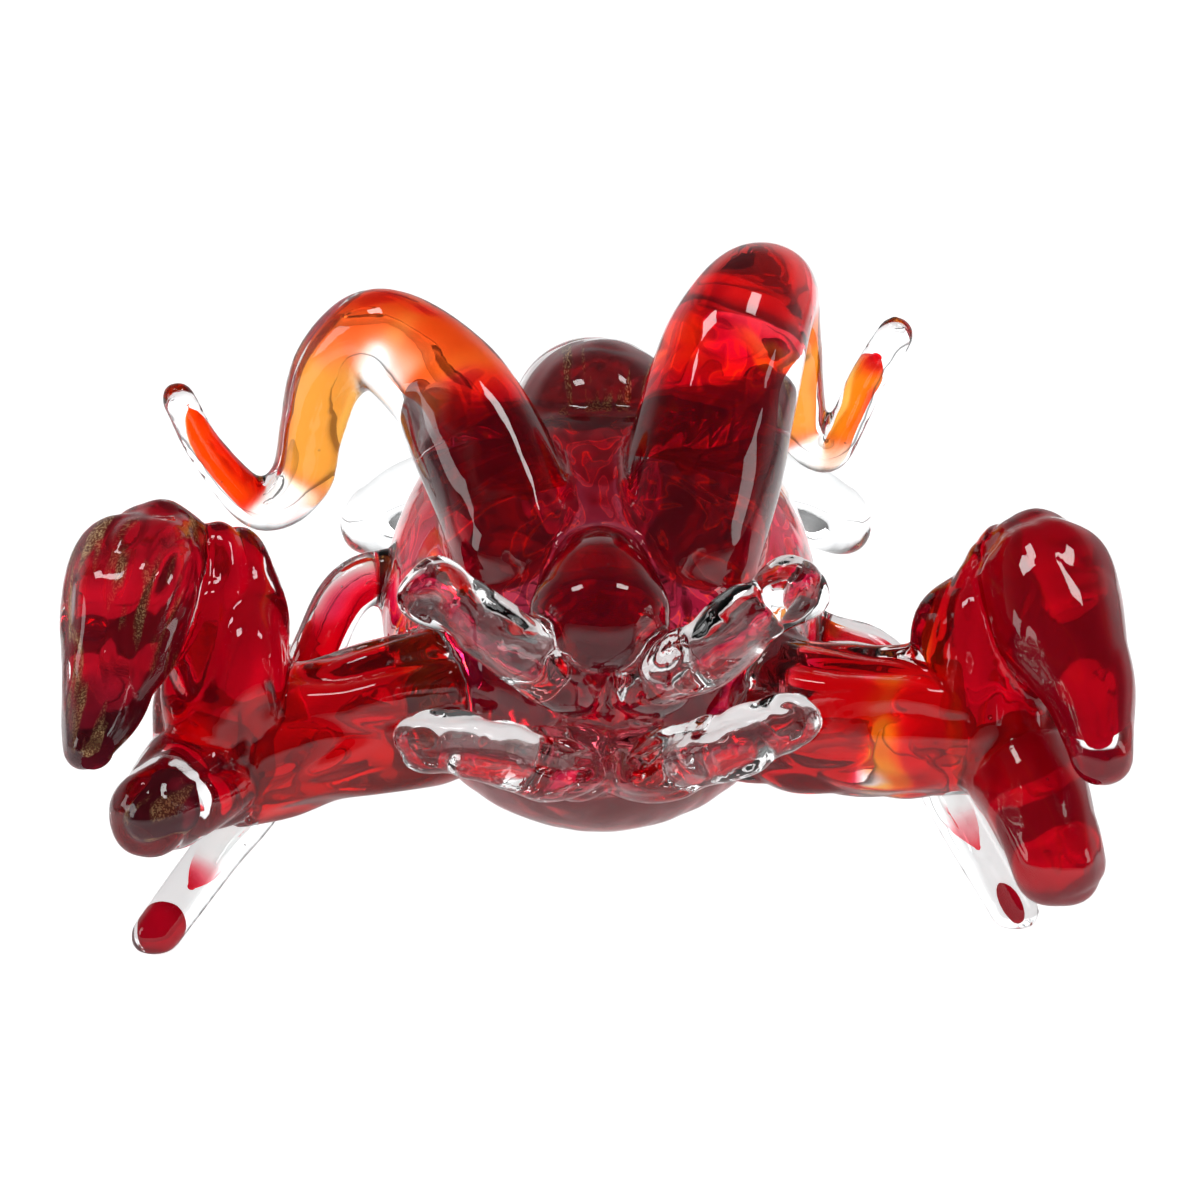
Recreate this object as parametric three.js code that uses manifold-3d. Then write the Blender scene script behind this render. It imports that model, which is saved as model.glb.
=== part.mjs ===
// Lobster figurine of hot worked cased glass: coloured cores in clear casings, clear head and tail bits.
// Millimetres, +Z up, the head towards -Y. Four feet and the telson rest on the plane z = 0.

import * as THREE from "three";
import Module from "manifold-3d";

const wasm = await Module();
wasm.setup();

// Fits
const seatGap = 0.3;

// Thorax: half sizes, height of its middle above the ground and slope towards the tail
const thoraxHalfWidth = 47;
const thoraxHalfLength = 68;
const thoraxHalfHeight = 42;
const rideHeight = 67.6;
const thoraxSlopeDegrees = 12;
const thoraxCoreShift = 1;
const thoraxCoreLift = 4;
const thoraxTailOpening = 10;

// Abdomen: arches up behind the thorax and falls to the tail
const abdomenLength = 88;
const abdomenRise = 42;
const abdomenLean = 1.8;
const abdomenRadius = 18.6;
const abdomenRingDepth = 1.8;
const abdomenRingSpreadShare = 0.03;

// Tail fan
const telsonLength = 40;
const telsonHalfWidth = 16;
const innerLobeSpan = 44;
const innerLobeLength = 32;
const innerLobeHalfWidth = 13;
const outerLobeLeftSpan = 53.5;
const outerLobeRightSpan = 56.5;
const outerLobeLength = 24;
const outerLobeRise = 25;
const outerLobeHalfWidth = 12.4;

// Rostrum
const rostrumReach = 32;
const rostrumRise = 6;
const rostrumRadius = 16;

// Antennae
const antennaLeftSpan = 73.4;
const antennaLeftSweep = 38;
const antennaLeftRise = 38.4;
const antennaLeftRadius = 14.7;
const antennaRightSpan = 47.2;
const antennaRightSweep = 73;
const antennaRightRise = 43.8;
const antennaRightRadius = 16.9;

// Feelers
const feelerSpan = 38;
const feelerReach = 34;
const upperFeelerRise = 34;
const lowerFeelerRise = 12.6;
const feelerRadius = 8;

// Arms
const armSpan = 52;
const armReach = 13;
const armDrop = 11.5;
const armRadius = 16;

// Claws
const clawSpan = 28;
const clawReach = 34;
const clawHeight = 30;
const palmRadius = 16;
const thumbRadius = 14;
const fingerRadius = 12;

// Legs
const frontLegSpan = 57;
const frontLegReach = 30;
const frontLegRadius = 5.8;
const rearLegSpan = 66;
const rearLegSweep = 44;
const rearLegRadius = 5.6;

// Thickness of each coloured core as a share of its casing's
const thoraxCoreWidthShare = 0.62;
const thoraxCoreHeightShare = 0.72;
const abdomenCoreShare = 0.62;
const rostrumCoreShare = 0.66;
const antennaCoreShare = 0.58;
const armCoreShare = 0.66;
const clawCoreShare = 0.66;
const legCoreShare = 0.5;

// Rows of each path: across, along and up as shares of the reach, then width and depth of the radius
const abdomenShares = [
  [0, 0, 0, 0.92, 0.92],
  [-0.8, 0.18, 0.29, 1, 1],
  [-1, 0.34, 0.37, 1, 1],
  [-0.8, 0.52, 0.24, 0.97, 0.97],
  [-0.3, 0.7, -0.14, 0.89, 0.87],
  [0, 0.86, -0.62, 0.79, 0.76],
  [0, 1, -1, 0.68, 0.62],
];
const abdomenRingShares = [0.444, 0.556, 0.667, 0.778, 0.889];
const telsonShares = [
  [0, -0.15, 0.14, 0.5, 0.42],
  [0, 0.2, -0.22, 0.8, 0.42],
  [0, 0.6, -0.62, 1, 0.4],
  [0, 1, -0.86, 0.85, 0.36],
];
const innerLobeShares = [
  [0.09, -0.12, 0.08, 0.55, 0.45],
  [0.41, 0.25, -0.22, 0.85, 0.45],
  [0.73, 0.63, -0.5, 1, 0.42],
  [1, 1, -0.7, 0.8, 0.38],
];
const outerLobeShares = [
  [0.14, -0.42, 0.48, 0.6, 0.5],
  [0.36, 0, 0.92, 0.82, 0.54],
  [0.61, 0.29, 1, 0.96, 0.56],
  [0.86, 0.63, 0.8, 1, 0.56],
  [1, 0.92, 0.6, 0.86, 0.5],
];
const outerLobeFacingShares = [0, -0.5, 0.85];
const rostrumShares = [
  [0, 0, 0, 0.8, 0.8],
  [0, 0.44, 1, 0.62, 0.62],
  [0, 0.75, 0.83, 0.8, 0.7],
  [0, 1, 0.42, 0.92, 0.68],
];
const antennaLeftShares = [
  [0, 0, 0, 1, 1],
  [0.045, 0.21, 0.23, 1, 1],
  [0.143, 0.475, 0.57, 0.95, 0.95],
  [0.225, 0.66, 0.78, 0.865, 0.865],
  [0.42, 0.84, 1, 0.74, 0.74],
  [0.553, 0.92, 0.81, 0.585, 0.585],
  [0.617, 0.975, 0.445, 0.485, 0.485],
  [0.653, 1, 0.15, 0.46, 0.46],
  [0.76, 1, 0, 0.38, 0.38],
  [0.925, 0.95, 0.335, 0.28, 0.28],
  [1, 0.84, 0.66, 0.26, 0.26],
];
const antennaRightShares = [
  [0, 0, 0, 0.97, 0.97],
  [0.083, 0.137, 0.315, 1, 1],
  [0.16, 0.274, 0.607, 0.965, 0.965],
  [0.237, 0.384, 0.84, 0.905, 0.905],
  [0.335, 0.52, 1, 0.765, 0.765],
  [0.43, 0.767, 0.927, 0.58, 0.58],
  [0.508, 0.918, 0.644, 0.43, 0.43],
  [0.551, 0.973, 0.34, 0.36, 0.36],
  [0.585, 1, 0.14, 0.32, 0.32],
  [0.69, 1, 0.055, 0.28, 0.28],
  [0.8, 0.986, 0.25, 0.25, 0.25],
  [0.877, 0.973, 0.452, 0.25, 0.25],
  [1, 0.945, 0.685, 0.25, 0.25],
];
const feelerUpperLeftShares = [
  [0, 0, 0, 1, 1],
  [0.055, 0.29, 0.165, 1, 1],
  [0.32, 0.765, 0.456, 0.98, 0.92],
  [0.635, 0.94, 0.78, 0.92, 0.84],
  [0.9, 0.94, 0.965, 0.84, 0.8],
];
const feelerUpperRightShares = [
  [0, 0, 0, 1, 1],
  [0.06, 0.29, 0.165, 1, 1],
  [0.32, 0.82, 0.47, 0.98, 0.96],
  [0.61, 1, 0.747, 0.96, 0.88],
  [0.925, 0.94, 0.965, 0.88, 0.82],
];
const feelerLowerLeftShares = [
  [0, 0, 0, 1, 1],
  [0.215, 0.62, 0.33, 1, 1],
  [0.64, 1, 0.92, 0.94, 0.88],
  [0.93, 0.97, 1.03, 0.84, 0.8],
];
const feelerLowerRightShares = [
  [0, 0, 0, 1, 1],
  [0.27, 0.62, 0.33, 1, 1],
  [0.663, 1, 0.97, 0.94, 0.86],
  [0.955, 0.97, 1.33, 0.84, 0.78],
];
const armLeftShares = [
  [0, 0, 0, 1.05, 1.05],
  [0.19, 0.46, -0.32, 1.05, 1.05],
  [0.51, 0.85, -0.62, 1, 0.98],
  [0.84, 1, -0.95, 1, 1],
  [1, 1.05, -1.1, 0.95, 0.95],
];
const armRightShares = [
  [0, 0, 0, 1.05, 1.05],
  [0.27, 0.46, -0.5, 1.05, 1.05],
  [0.59, 0.85, -0.6, 1.02, 1],
  [0.86, 1, -0.55, 1, 1],
  [1.03, 1.05, -0.5, 0.95, 0.95],
];
const palmLeftShares = [
  [0.13, -0.38, 1.22, 0.62, 0.6],
  [0.12, -0.18, 0.83, 0.84, 0.84],
  [0.06, 0.03, 0.36, 0.97, 0.95],
  [0.13, 0.13, -0.02, 0.85, 0.85],
];
const palmRightShares = [
  [0.26, -0.37, 0.99, 0.56, 0.58],
  [0.15, -0.14, 0.53, 0.96, 0.92],
  [0.14, 0.04, 0.08, 0.91, 0.91],
  [0.28, 0.14, -0.22, 0.78, 0.78],
];
const fingerLeftShares = [
  [0, -0.15, 0.09, 0.75, 0.75],
  [0.15, 0.15, -0.04, 1.04, 1.02],
  [0.39, 0.5, -0.14, 0.92, 0.92],
  [0.56, 0.79, -0.17, 0.78, 0.78],
];
const fingerRightShares = [
  [0.1, -0.12, -0.08, 0.75, 0.75],
  [0.32, 0.16, -0.27, 1, 1],
  [0.475, 0.54, -0.46, 0.92, 0.92],
  [0.6, 0.8, -0.74, 0.84, 0.84],
];
const thumbLeftShares = [
  [0.62, -0.28, 1.34, 0.84, 0.8],
  [0.7, -0.1, 1.27, 1, 0.94],
  [0.77, 0.26, 1.06, 0.96, 0.88],
  [0.86, 0.62, 0.63, 0.64, 0.62],
  [0.97, 0.97, 0.37, 0.42, 0.42],
];
const thumbRightShares = [
  [0.48, -0.26, 1.05, 0.82, 0.8],
  [0.54, -0.1, 0.98, 1.06, 1],
  [0.64, 0.27, 0.73, 0.98, 0.88],
  [0.81, 0.63, 0.41, 0.7, 0.66],
  [0.875, 0.98, 0.09, 0.48, 0.48],
];
const frontLegLeftShares = [
  [0, 0, 0, 1, 1],
  [0.145, -0.1, 0.04, 1, 1],
  [0.277, -0.03, 0, 1, 1],
  [0.395, 0.167, -0.163, 1, 1],
  [0.593, 0.433, -0.567, 1, 1],
  [0.777, 0.7, -0.736, 0.96, 0.96],
  [0.995, 1, -0.95, 0.9, 0.9],
];
const frontLegRightShares = [
  [0, 0, -0.08, 1, 1],
  [0.2, -0.05, -0.16, 1, 1],
  [0.35, 0, -0.19, 1, 1],
  [0.484, 0.167, -0.288, 1, 1],
  [0.62, 0.333, -0.549, 1, 1],
  [0.904, 0.433, -0.95, 0.92, 0.92],
];
const rearLegShares = [
  [0, 0, 0, 1, 1],
  [0.38, 0.36, -0.12, 1, 1],
  [0.76, 0.73, -0.18, 1, 1],
  [0.94, 0.91, -0.6, 0.95, 0.95],
  [1, 1, -0.94, 0.9, 0.9],
];

// Where each limb starts inside the thorax: across, along and up as shares of its half sizes
const antennaLeftRootShares = [-0.357, -0.471, 0.651];
const antennaRightRootShares = [0.379, -0.44, 0.655];
const rostrumRootShares = [0, -0.56, 0.533];
const armRootShares = [0.51, -0.513, -0.02];
const upperFeelerLeftRootShares = [0, -0.816, 0.086];
const upperFeelerRightRootShares = [0.085, -0.816, 0.086];
const lowerFeelerLeftRootShares = [0, -0.864, -0.165];
const lowerFeelerRightRootShares = [0.043, -0.864, -0.165];
const frontLegRootShares = [0.81, -0.13, 0.14];
const rearLegRootShares = [0.64, 0.163, -0.59];
const abdomenRootShares = [0, 0.462, 0.084];

// How far each antenna's core lies off the middle, as shares of the clear glass beside it
const antennaLeftLeanShares = [0.4, 0, 0.3];
const antennaRightLeanShares = [-0.25, 0, 0];

// Thorax outline from nose to tail end: along, width and height as shares of its half sizes
const thoraxOutlineShares = [
  [-1, 0, 0],
  [-0.96, 0.29, 0.3],
  [-0.84, 0.56, 0.58],
  [-0.62, 0.81, 0.82],
  [-0.3, 0.97, 0.97],
  [0, 1, 1],
  [0.34, 0.94, 0.94],
  [0.64, 0.77, 0.76],
  [0.86, 0.5, 0.5],
  [0.97, 0.24, 0.24],
  [1, 0, 0],
];

const up = new THREE.Vector3(0, 0, 1);
const slope = THREE.MathUtils.degToRad(thoraxSlopeDegrees);
const thoraxMiddle = new THREE.Vector3(0, 0, rideHeight);
const thoraxAlong = new THREE.Vector3(0, Math.cos(slope), Math.sin(slope));
const thoraxAcross = new THREE.Vector3(1, 0, 0);
const thoraxUp = new THREE.Vector3().crossVectors(thoraxAcross, thoraxAlong);

// A point of the thorax given by shares of its half sizes
function thoraxPoint([across, along, rise]) {
  return thoraxMiddle
    .clone()
    .addScaledVector(thoraxAcross, across * thoraxHalfWidth)
    .addScaledVector(thoraxAlong, along * thoraxHalfLength)
    .addScaledVector(thoraxUp, rise * thoraxHalfHeight);
}

// A closed body from a row of oval rings between two pole points
function solidFromRings(rings, poles, sides) {
  const points = [];
  const faces = [];
  for (const ring of rings) {
    for (let k = 0; k < sides; k += 1) {
      const angle = (2 * Math.PI * k) / sides;
      const point = ring.middle
        .clone()
        .addScaledVector(ring.wide, ring.width * Math.cos(angle))
        .addScaledVector(ring.deep, ring.depth * Math.sin(angle));
      points.push(point.x, point.y, point.z);
    }
  }
  const first = rings.length * sides;
  const last = first + 1;
  for (const pole of poles) points.push(pole.x, pole.y, pole.z);
  for (let k = 0; k < sides; k += 1) {
    const next = (k + 1) % sides;
    faces.push(first, next, k);
    for (let i = 0; i + 1 < rings.length; i += 1) {
      const low = i * sides;
      const high = low + sides;
      faces.push(low + k, low + next, high + k);
      faces.push(low + next, high + next, high + k);
    }
    const end = (rings.length - 1) * sides;
    faces.push(last, end + k, end + next);
  }
  return new wasm.Manifold(
    new wasm.Mesh({
      numProp: 3,
      vertProperties: new Float32Array(points),
      triVerts: new Uint32Array(faces),
    }),
  );
}

// A drawn length of glass: an oval section carried along a curve and rounded off at both ends
class Gather {
  constructor({ root, reach, radius, shares, sides = 12, rings = 6, flat = null, grooves = null }) {
    this.places = shares.map(([x, y, z]) =>
      new THREE.Vector3(x, y, z).multiply(reach).add(root),
    );
    this.sizes = shares.map(
      ([, , , width, depth]) => new THREE.Vector3(width * radius, depth * radius, 0),
    );
    this.curve = new THREE.CatmullRomCurve3(this.places, false, "centripetal");
    this.swell = new THREE.CatmullRomCurve3(this.sizes, false, "catmullrom", 0.5);
    this.sides = sides;
    this.rings = rings;
    this.flat = flat;
    this.grooves = grooves;
  }

  end() {
    return this.places[this.places.length - 1].clone();
  }

  // How far a groove pressed around the glass draws the surface in at a share of the length
  pinch(share) {
    if (!this.grooves) return 0;
    const { depth, places, spread } = this.grooves;
    return places.reduce((sum, place) => {
      const off = (share - place) / spread;
      return sum + depth * Math.exp(-off * off);
    }, 0);
  }

  frames(count, from, to) {
    const frames = [];
    let wide = null;
    for (let i = 0; i <= count; i += 1) {
      const share = from + ((to - from) * i) / count;
      const middle = this.curve.getPoint(share);
      const ahead = this.curve.getTangent(share).normalize();
      const guide = this.flat ?? (wide ? null : this.firstGuide(ahead));
      if (guide) wide = new THREE.Vector3().crossVectors(guide, ahead).normalize();
      else wide.addScaledVector(ahead, -wide.dot(ahead)).normalize();
      const deep = new THREE.Vector3().crossVectors(ahead, wide).normalize();
      const size = this.swell.getPoint(share);
      const pinch = this.pinch(share);
      frames.push({
        middle,
        ahead,
        wide: wide.clone(),
        deep,
        width: size.x - pinch,
        depth: size.y - pinch,
      });
    }
    return frames;
  }

  firstGuide(ahead) {
    return Math.abs(ahead.z) < 0.9 ? up : new THREE.Vector3(0, 1, 0);
  }

  // The body between two shares of its length, filled to a share of its thickness and grown outwards
  solid(grow = 0, shape = {}) {
    const { fill = 1, lean = null, from = 0, to = 1, past = 0, steps = 3 } = shape;
    const { sides = this.sides, rings = this.rings } = shape;
    const frames = this.frames(rings, from, to);
    if (past > 0) {
      const last = frames[frames.length - 1];
      frames.push({ ...last, middle: last.middle.clone().addScaledVector(last.ahead, past) });
    }
    const swollen = frames.map((frame) => ({
      ...frame,
      middle: lean ? frame.middle.clone().addScaledVector(lean, frame.width * (1 - fill)) : frame.middle,
      width: frame.width * fill + grow,
      depth: frame.depth * fill + grow,
    }));
    const before = swollen[0];
    const after = swollen[swollen.length - 1];
    const nose = this.roundEnd(before, -1, steps);
    const toe = this.roundEnd(after, 1, steps);
    return solidFromRings(
      [...nose.rings.reverse(), ...swollen, ...toe.rings],
      [nose.pole, toe.pole],
      sides,
    );
  }

  roundEnd(frame, way, steps) {
    const long = (frame.width + frame.depth) / 2;
    const rings = [];
    for (let i = 1; i < steps; i += 1) {
      const angle = (Math.PI * i) / (2 * steps);
      rings.push({
        ...frame,
        middle: frame.middle.clone().addScaledVector(frame.ahead, way * long * Math.sin(angle)),
        width: frame.width * Math.cos(angle),
        depth: frame.depth * Math.cos(angle),
      });
    }
    return { rings, pole: frame.middle.clone().addScaledVector(frame.ahead, way * long) };
  }
}

// The thorax, or its core when shares of its width and height are given: an egg laid along the slope
function thoraxSolid(grow = 0, shape = {}) {
  const { wide = 1, deep = 1, shift = 0, lift = 0, past = grow, sides = 24, rings = 15 } = shape;
  const outline = thoraxOutlineShares.map(([s, w, h]) => new THREE.Vector3(s, w, h));
  const curve = new THREE.CatmullRomCurve3(outline, false, "centripetal");
  const front = -(thoraxHalfLength * deep + grow);
  const back = thoraxHalfLength + past;
  const place = (share) =>
    thoraxPoint([0, 0, 0])
      .addScaledVector(thoraxAlong, share < 0 ? -share * front : share * back)
      .addScaledVector(thoraxAcross, shift)
      .addScaledVector(thoraxUp, lift);
  const made = [];
  for (let i = 1; i < rings; i += 1) {
    const row = curve.getPoint(i / rings);
    made.push({
      middle: place(row.x),
      wide: thoraxAcross.clone().negate(),
      deep: thoraxUp,
      width: Math.max(row.y, 0) * (thoraxHalfWidth * wide + grow),
      depth: Math.max(row.z, 0) * (thoraxHalfHeight * deep + grow),
    });
  }
  return solidFromRings(made, [place(-1), place(1)], sides);
}

// The largest piece left of a body after its neighbours are taken out of it
function seated(body, ...neighbours) {
  const left = neighbours.reduce((rest, other) => rest.subtract(other), body);
  const pieces = left.decompose();
  return pieces.reduce((best, piece) => (piece.volume() > best.volume() ? piece : best));
}

const lobster = new THREE.Group();
lobster.name = "lobster";

function addPiece(name, body, colour, roughness = 0.08) {
  const cut = body.trimByPlane([0, 0, 1], 0);
  const mesh = cut.getMesh();
  const geometry = new THREE.BufferGeometry();
  const places = new Float32Array(mesh.numVert * 3);
  for (let i = 0; i < mesh.numVert; i += 1) {
    for (let k = 0; k < 3; k += 1) places[i * 3 + k] = mesh.vertProperties[i * mesh.numProp + k];
  }
  geometry.setAttribute("position", new THREE.BufferAttribute(places, 3));
  geometry.setIndex(new THREE.BufferAttribute(new Uint32Array(mesh.triVerts), 1));
  geometry.computeVertexNormals();
  const material = new THREE.MeshStandardMaterial({ color: colour, roughness });
  const piece = new THREE.Mesh(geometry, material);
  piece.name = name;
  lobster.add(piece);
}

const clear = 0xe9eef0;
const red = 0x9c0f14;
const darkRed = 0x5a0a10;
const orange = 0xf0641e;

// A casing with its core, a share as thick: the bore opens where the piece is seated
function addCased(name, gather, coreShare, neighbours, colour, shape) {
  const outer = gather.solid();
  const filled = { ...shape, fill: coreShare };
  const bore = gather.solid(seatGap, filled);
  const core = gather.solid(0, filled).intersect(outer);
  addPiece(`${name}_casing`, seated(outer, bore, ...neighbours), clear);
  addPiece(`${name}_core`, seated(core, ...neighbours), colour);
}

// Thorax
const thoraxOuter = thoraxSolid();
const thoraxSeat = thoraxSolid(seatGap);
const thoraxCore = {
  wide: thoraxCoreWidthShare,
  deep: thoraxCoreHeightShare,
  shift: -thoraxCoreShift,
  lift: thoraxCoreLift,
  past: thoraxTailOpening,
  sides: 16,
  rings: 10,
};
addPiece("thorax_casing", seated(thoraxOuter, thoraxSolid(seatGap, thoraxCore)), clear);
addPiece("thorax_core", thoraxSolid(0, thoraxCore).intersect(thoraxOuter), red);

// Abdomen
const abdomen = new Gather({
  root: thoraxPoint(abdomenRootShares),
  reach: new THREE.Vector3(abdomenLean, abdomenLength, abdomenRise),
  radius: abdomenRadius,
  shares: abdomenShares,
  sides: 14,
  rings: 18,
  grooves: { depth: abdomenRingDepth, places: abdomenRingShares, spread: abdomenRingSpreadShare },
});
const abdomenCore = { to: 0.96, steps: 2, sides: 10, rings: 8 };
addCased("abdomen", abdomen, abdomenCoreShare, [thoraxSeat], darkRed, abdomenCore);
const abdomenSeat = abdomen.solid(seatGap);

// Tail fan
const tailRoot = abdomen.end();
const telson = new Gather({
  root: tailRoot,
  reach: new THREE.Vector3(0, telsonLength, tailRoot.z),
  radius: telsonHalfWidth,
  shares: telsonShares,
  flat: up,
  sides: 10,
  rings: 5,
});
addPiece("telson", seated(telson.solid(), abdomenSeat), clear);
const telsonSeat = telson.solid(seatGap);

for (const [side, way, span] of [["left", -1, outerLobeLeftSpan], ["right", 1, outerLobeRightSpan]]) {
  const inner = new Gather({
    root: tailRoot,
    reach: new THREE.Vector3(way * innerLobeSpan, innerLobeLength, tailRoot.z),
    radius: innerLobeHalfWidth,
    shares: innerLobeShares,
    flat: up,
    sides: 10,
    rings: 5,
  });
  const outer = new Gather({
    root: tailRoot,
    reach: new THREE.Vector3(way * span, outerLobeLength, outerLobeRise),
    radius: outerLobeHalfWidth,
    shares: outerLobeShares,
    flat: new THREE.Vector3(...outerLobeFacingShares),
    sides: 10,
    rings: 5,
  });
  addPiece(`tail_lobe_inner_${side}`, seated(inner.solid(), abdomenSeat, telsonSeat), clear);
  addPiece(
    `tail_lobe_outer_${side}`,
    seated(outer.solid(), abdomenSeat, telsonSeat, inner.solid(seatGap)),
    clear,
  );
}

// Antennae
const antennaLeft = new Gather({
  root: thoraxPoint(antennaLeftRootShares),
  reach: new THREE.Vector3(-antennaLeftSpan, antennaLeftSweep, antennaLeftRise),
  radius: antennaLeftRadius,
  shares: antennaLeftShares,
  rings: 20,
});
const antennaRight = new Gather({
  root: thoraxPoint(antennaRightRootShares),
  reach: new THREE.Vector3(antennaRightSpan, antennaRightSweep, antennaRightRise),
  radius: antennaRightRadius,
  shares: antennaRightShares,
  rings: 24,
});
const antennaLeftSeat = antennaLeft.solid(seatGap);
const bare = { to: 0.96, steps: 2, sides: 8 };
const leftCore = { ...bare, rings: 15, lean: new THREE.Vector3(...antennaLeftLeanShares) };
const rightCore = { ...bare, rings: 18, lean: new THREE.Vector3(...antennaRightLeanShares) };
addCased("antenna_left", antennaLeft, antennaCoreShare, [thoraxSeat], orange, leftCore);
const rightNeighbours = [thoraxSeat, antennaLeftSeat];
addCased("antenna_right", antennaRight, antennaCoreShare, rightNeighbours, red, rightCore);

// Rostrum
const rostrum = new Gather({
  root: thoraxPoint(rostrumRootShares),
  reach: new THREE.Vector3(0, -rostrumReach, rostrumRise),
  radius: rostrumRadius,
  shares: rostrumShares,
  flat: up,
});
const antennaSeats = [antennaLeftSeat, antennaRight.solid(seatGap)];
const rostrumNeighbours = [thoraxSeat, ...antennaSeats];
const rostrumCore = { steps: 2, sides: 8, rings: 4 };
addCased("rostrum", rostrum, rostrumCoreShare, rostrumNeighbours, darkRed, rostrumCore);

// Feelers
const taken = [thoraxSeat, ...antennaSeats, rostrum.solid(seatGap)];
const feelers = [
  ["feeler_upper_left", upperFeelerLeftRootShares, -1, upperFeelerRise, feelerUpperLeftShares],
  ["feeler_upper_right", upperFeelerRightRootShares, 1, upperFeelerRise, feelerUpperRightShares],
  ["feeler_lower_left", lowerFeelerLeftRootShares, -1, lowerFeelerRise, feelerLowerLeftShares],
  ["feeler_lower_right", lowerFeelerRightRootShares, 1, lowerFeelerRise, feelerLowerRightShares],
];
for (const [name, rootShares, way, rise, shares] of feelers) {
  const feeler = new Gather({
    root: thoraxPoint(rootShares),
    reach: new THREE.Vector3(way * feelerSpan, -feelerReach, rise),
    radius: feelerRadius,
    shares,
    sides: 10,
    rings: 6,
  });
  addPiece(name, seated(feeler.solid(), ...taken), clear);
  taken.push(feeler.solid(seatGap));
}

// Arms and claws
const sideTables = [
  ["left", -1, armLeftShares, palmLeftShares, fingerLeftShares, thumbLeftShares],
  ["right", 1, armRightShares, palmRightShares, fingerRightShares, thumbRightShares],
];
const armSeats = [];
for (const [side, way, armShares, palmShares, fingerShares, thumbShares] of sideTables) {
  const [across, along, rise] = armRootShares;
  const arm = new Gather({
    root: thoraxPoint([way * across, along, rise]),
    reach: new THREE.Vector3(way * armSpan, -armReach, armDrop),
    radius: armRadius,
    shares: armShares,
    rings: 5,
  });
  const clawReaches = new THREE.Vector3(way * clawSpan, -clawReach, clawHeight);
  const bit = (radius, shares) =>
    new Gather({ root: arm.end(), reach: clawReaches, radius, shares });
  const palm = bit(palmRadius, palmShares);
  const finger = bit(fingerRadius, fingerShares);
  const thumb = bit(thumbRadius, thumbShares);
  const palmSeat = palm.solid(seatGap);
  const thumbSeat = thumb.solid(seatGap);
  const palmCore = { from: 0.05, past: palmRadius, steps: 2, sides: 8, rings: 4 };
  const bitCore = { to: 0.95, steps: 2, sides: 8, rings: 4 };
  addCased(`claw_${side}_palm`, palm, clawCoreShare, [], red, palmCore);
  addCased(`claw_${side}_thumb`, thumb, clawCoreShare, [palmSeat], darkRed, bitCore);
  addCased(`claw_${side}_finger`, finger, clawCoreShare, [palmSeat, thumbSeat], red, bitCore);
  const armNeighbours = [thoraxSeat, palmSeat, thumbSeat, finger.solid(seatGap)];
  const armCore = { steps: 1, sides: 9, rings: 4 };
  addCased(`arm_${side}`, arm, armCoreShare, armNeighbours, red, armCore);
  armSeats.push(arm.solid(seatGap));
}

// Legs: each one ends in a foot ground flat on the plane it stands on
function addLeg(name, [across, along, rise], way, span, reach, radius, shares) {
  const hip = thoraxPoint([way * across, along, rise]);
  const leg = new Gather({
    root: hip,
    reach: new THREE.Vector3(way * span, reach, hip.z),
    radius,
    shares,
    sides: 8,
    rings: 9,
  });
  const core = { to: 0.93, steps: 1, sides: 6, rings: 7 };
  addCased(name, leg, legCoreShare, [thoraxSeat, ...armSeats], red, core);
}
const frontLeg = [frontLegSpan, -frontLegReach, frontLegRadius];
const rearLeg = [rearLegSpan, rearLegSweep, rearLegRadius];
addLeg("leg_front_left", frontLegRootShares, -1, ...frontLeg, frontLegLeftShares);
addLeg("leg_front_right", frontLegRootShares, 1, ...frontLeg, frontLegRightShares);
addLeg("leg_rear_left", rearLegRootShares, -1, ...rearLeg, rearLegShares);
addLeg("leg_rear_right", rearLegRootShares, 1, ...rearLeg, rearLegShares);

// The middle of the ground rectangle under the figure is the origin
const bounds = new THREE.Box3().setFromObject(lobster);
const middle = bounds.getCenter(new THREE.Vector3());
lobster.position.set(-middle.x, -middle.y, 0);

export default lobster;
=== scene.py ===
"""Looks of the lobster figurine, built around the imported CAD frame.

Hot worked cased glass: one fused clear surface, parted into the gathers that it was made from,
with coloured cores, strands and bubbles held inside it. Metres, in the CAD frame, head towards -Y.
"""

import logging
import math
import random
from dataclasses import dataclass, field, replace
from enum import Enum

import bmesh
import bpy
from mathutils import Matrix, Vector, noise
from mathutils.bvhtree import BVHTree


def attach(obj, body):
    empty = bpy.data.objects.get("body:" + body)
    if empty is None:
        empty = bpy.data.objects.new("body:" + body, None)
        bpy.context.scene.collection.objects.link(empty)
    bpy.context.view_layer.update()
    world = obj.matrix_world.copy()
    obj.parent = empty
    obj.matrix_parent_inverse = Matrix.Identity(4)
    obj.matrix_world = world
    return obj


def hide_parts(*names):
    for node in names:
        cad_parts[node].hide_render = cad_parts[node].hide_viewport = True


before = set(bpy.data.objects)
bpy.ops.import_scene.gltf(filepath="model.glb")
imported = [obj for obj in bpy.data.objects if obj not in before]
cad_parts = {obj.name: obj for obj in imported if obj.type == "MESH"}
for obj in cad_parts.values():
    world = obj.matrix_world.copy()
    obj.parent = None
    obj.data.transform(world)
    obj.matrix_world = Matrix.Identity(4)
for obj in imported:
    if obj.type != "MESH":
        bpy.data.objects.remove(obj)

LOG = logging.getLogger("lobster")
MM = 0.001
UP = Vector((0.0, 0.0, 1.0))
BODY = "root"

Row = tuple[float, float, float, float, float]
Rows = tuple[Row, ...]


class Slot(Enum):
    """Material slots of the record."""

    CLEAR = "clear_glass"
    RED = "red_glass"
    DARK = "dark_red_glass"
    ORANGE = "orange_glass"


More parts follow.
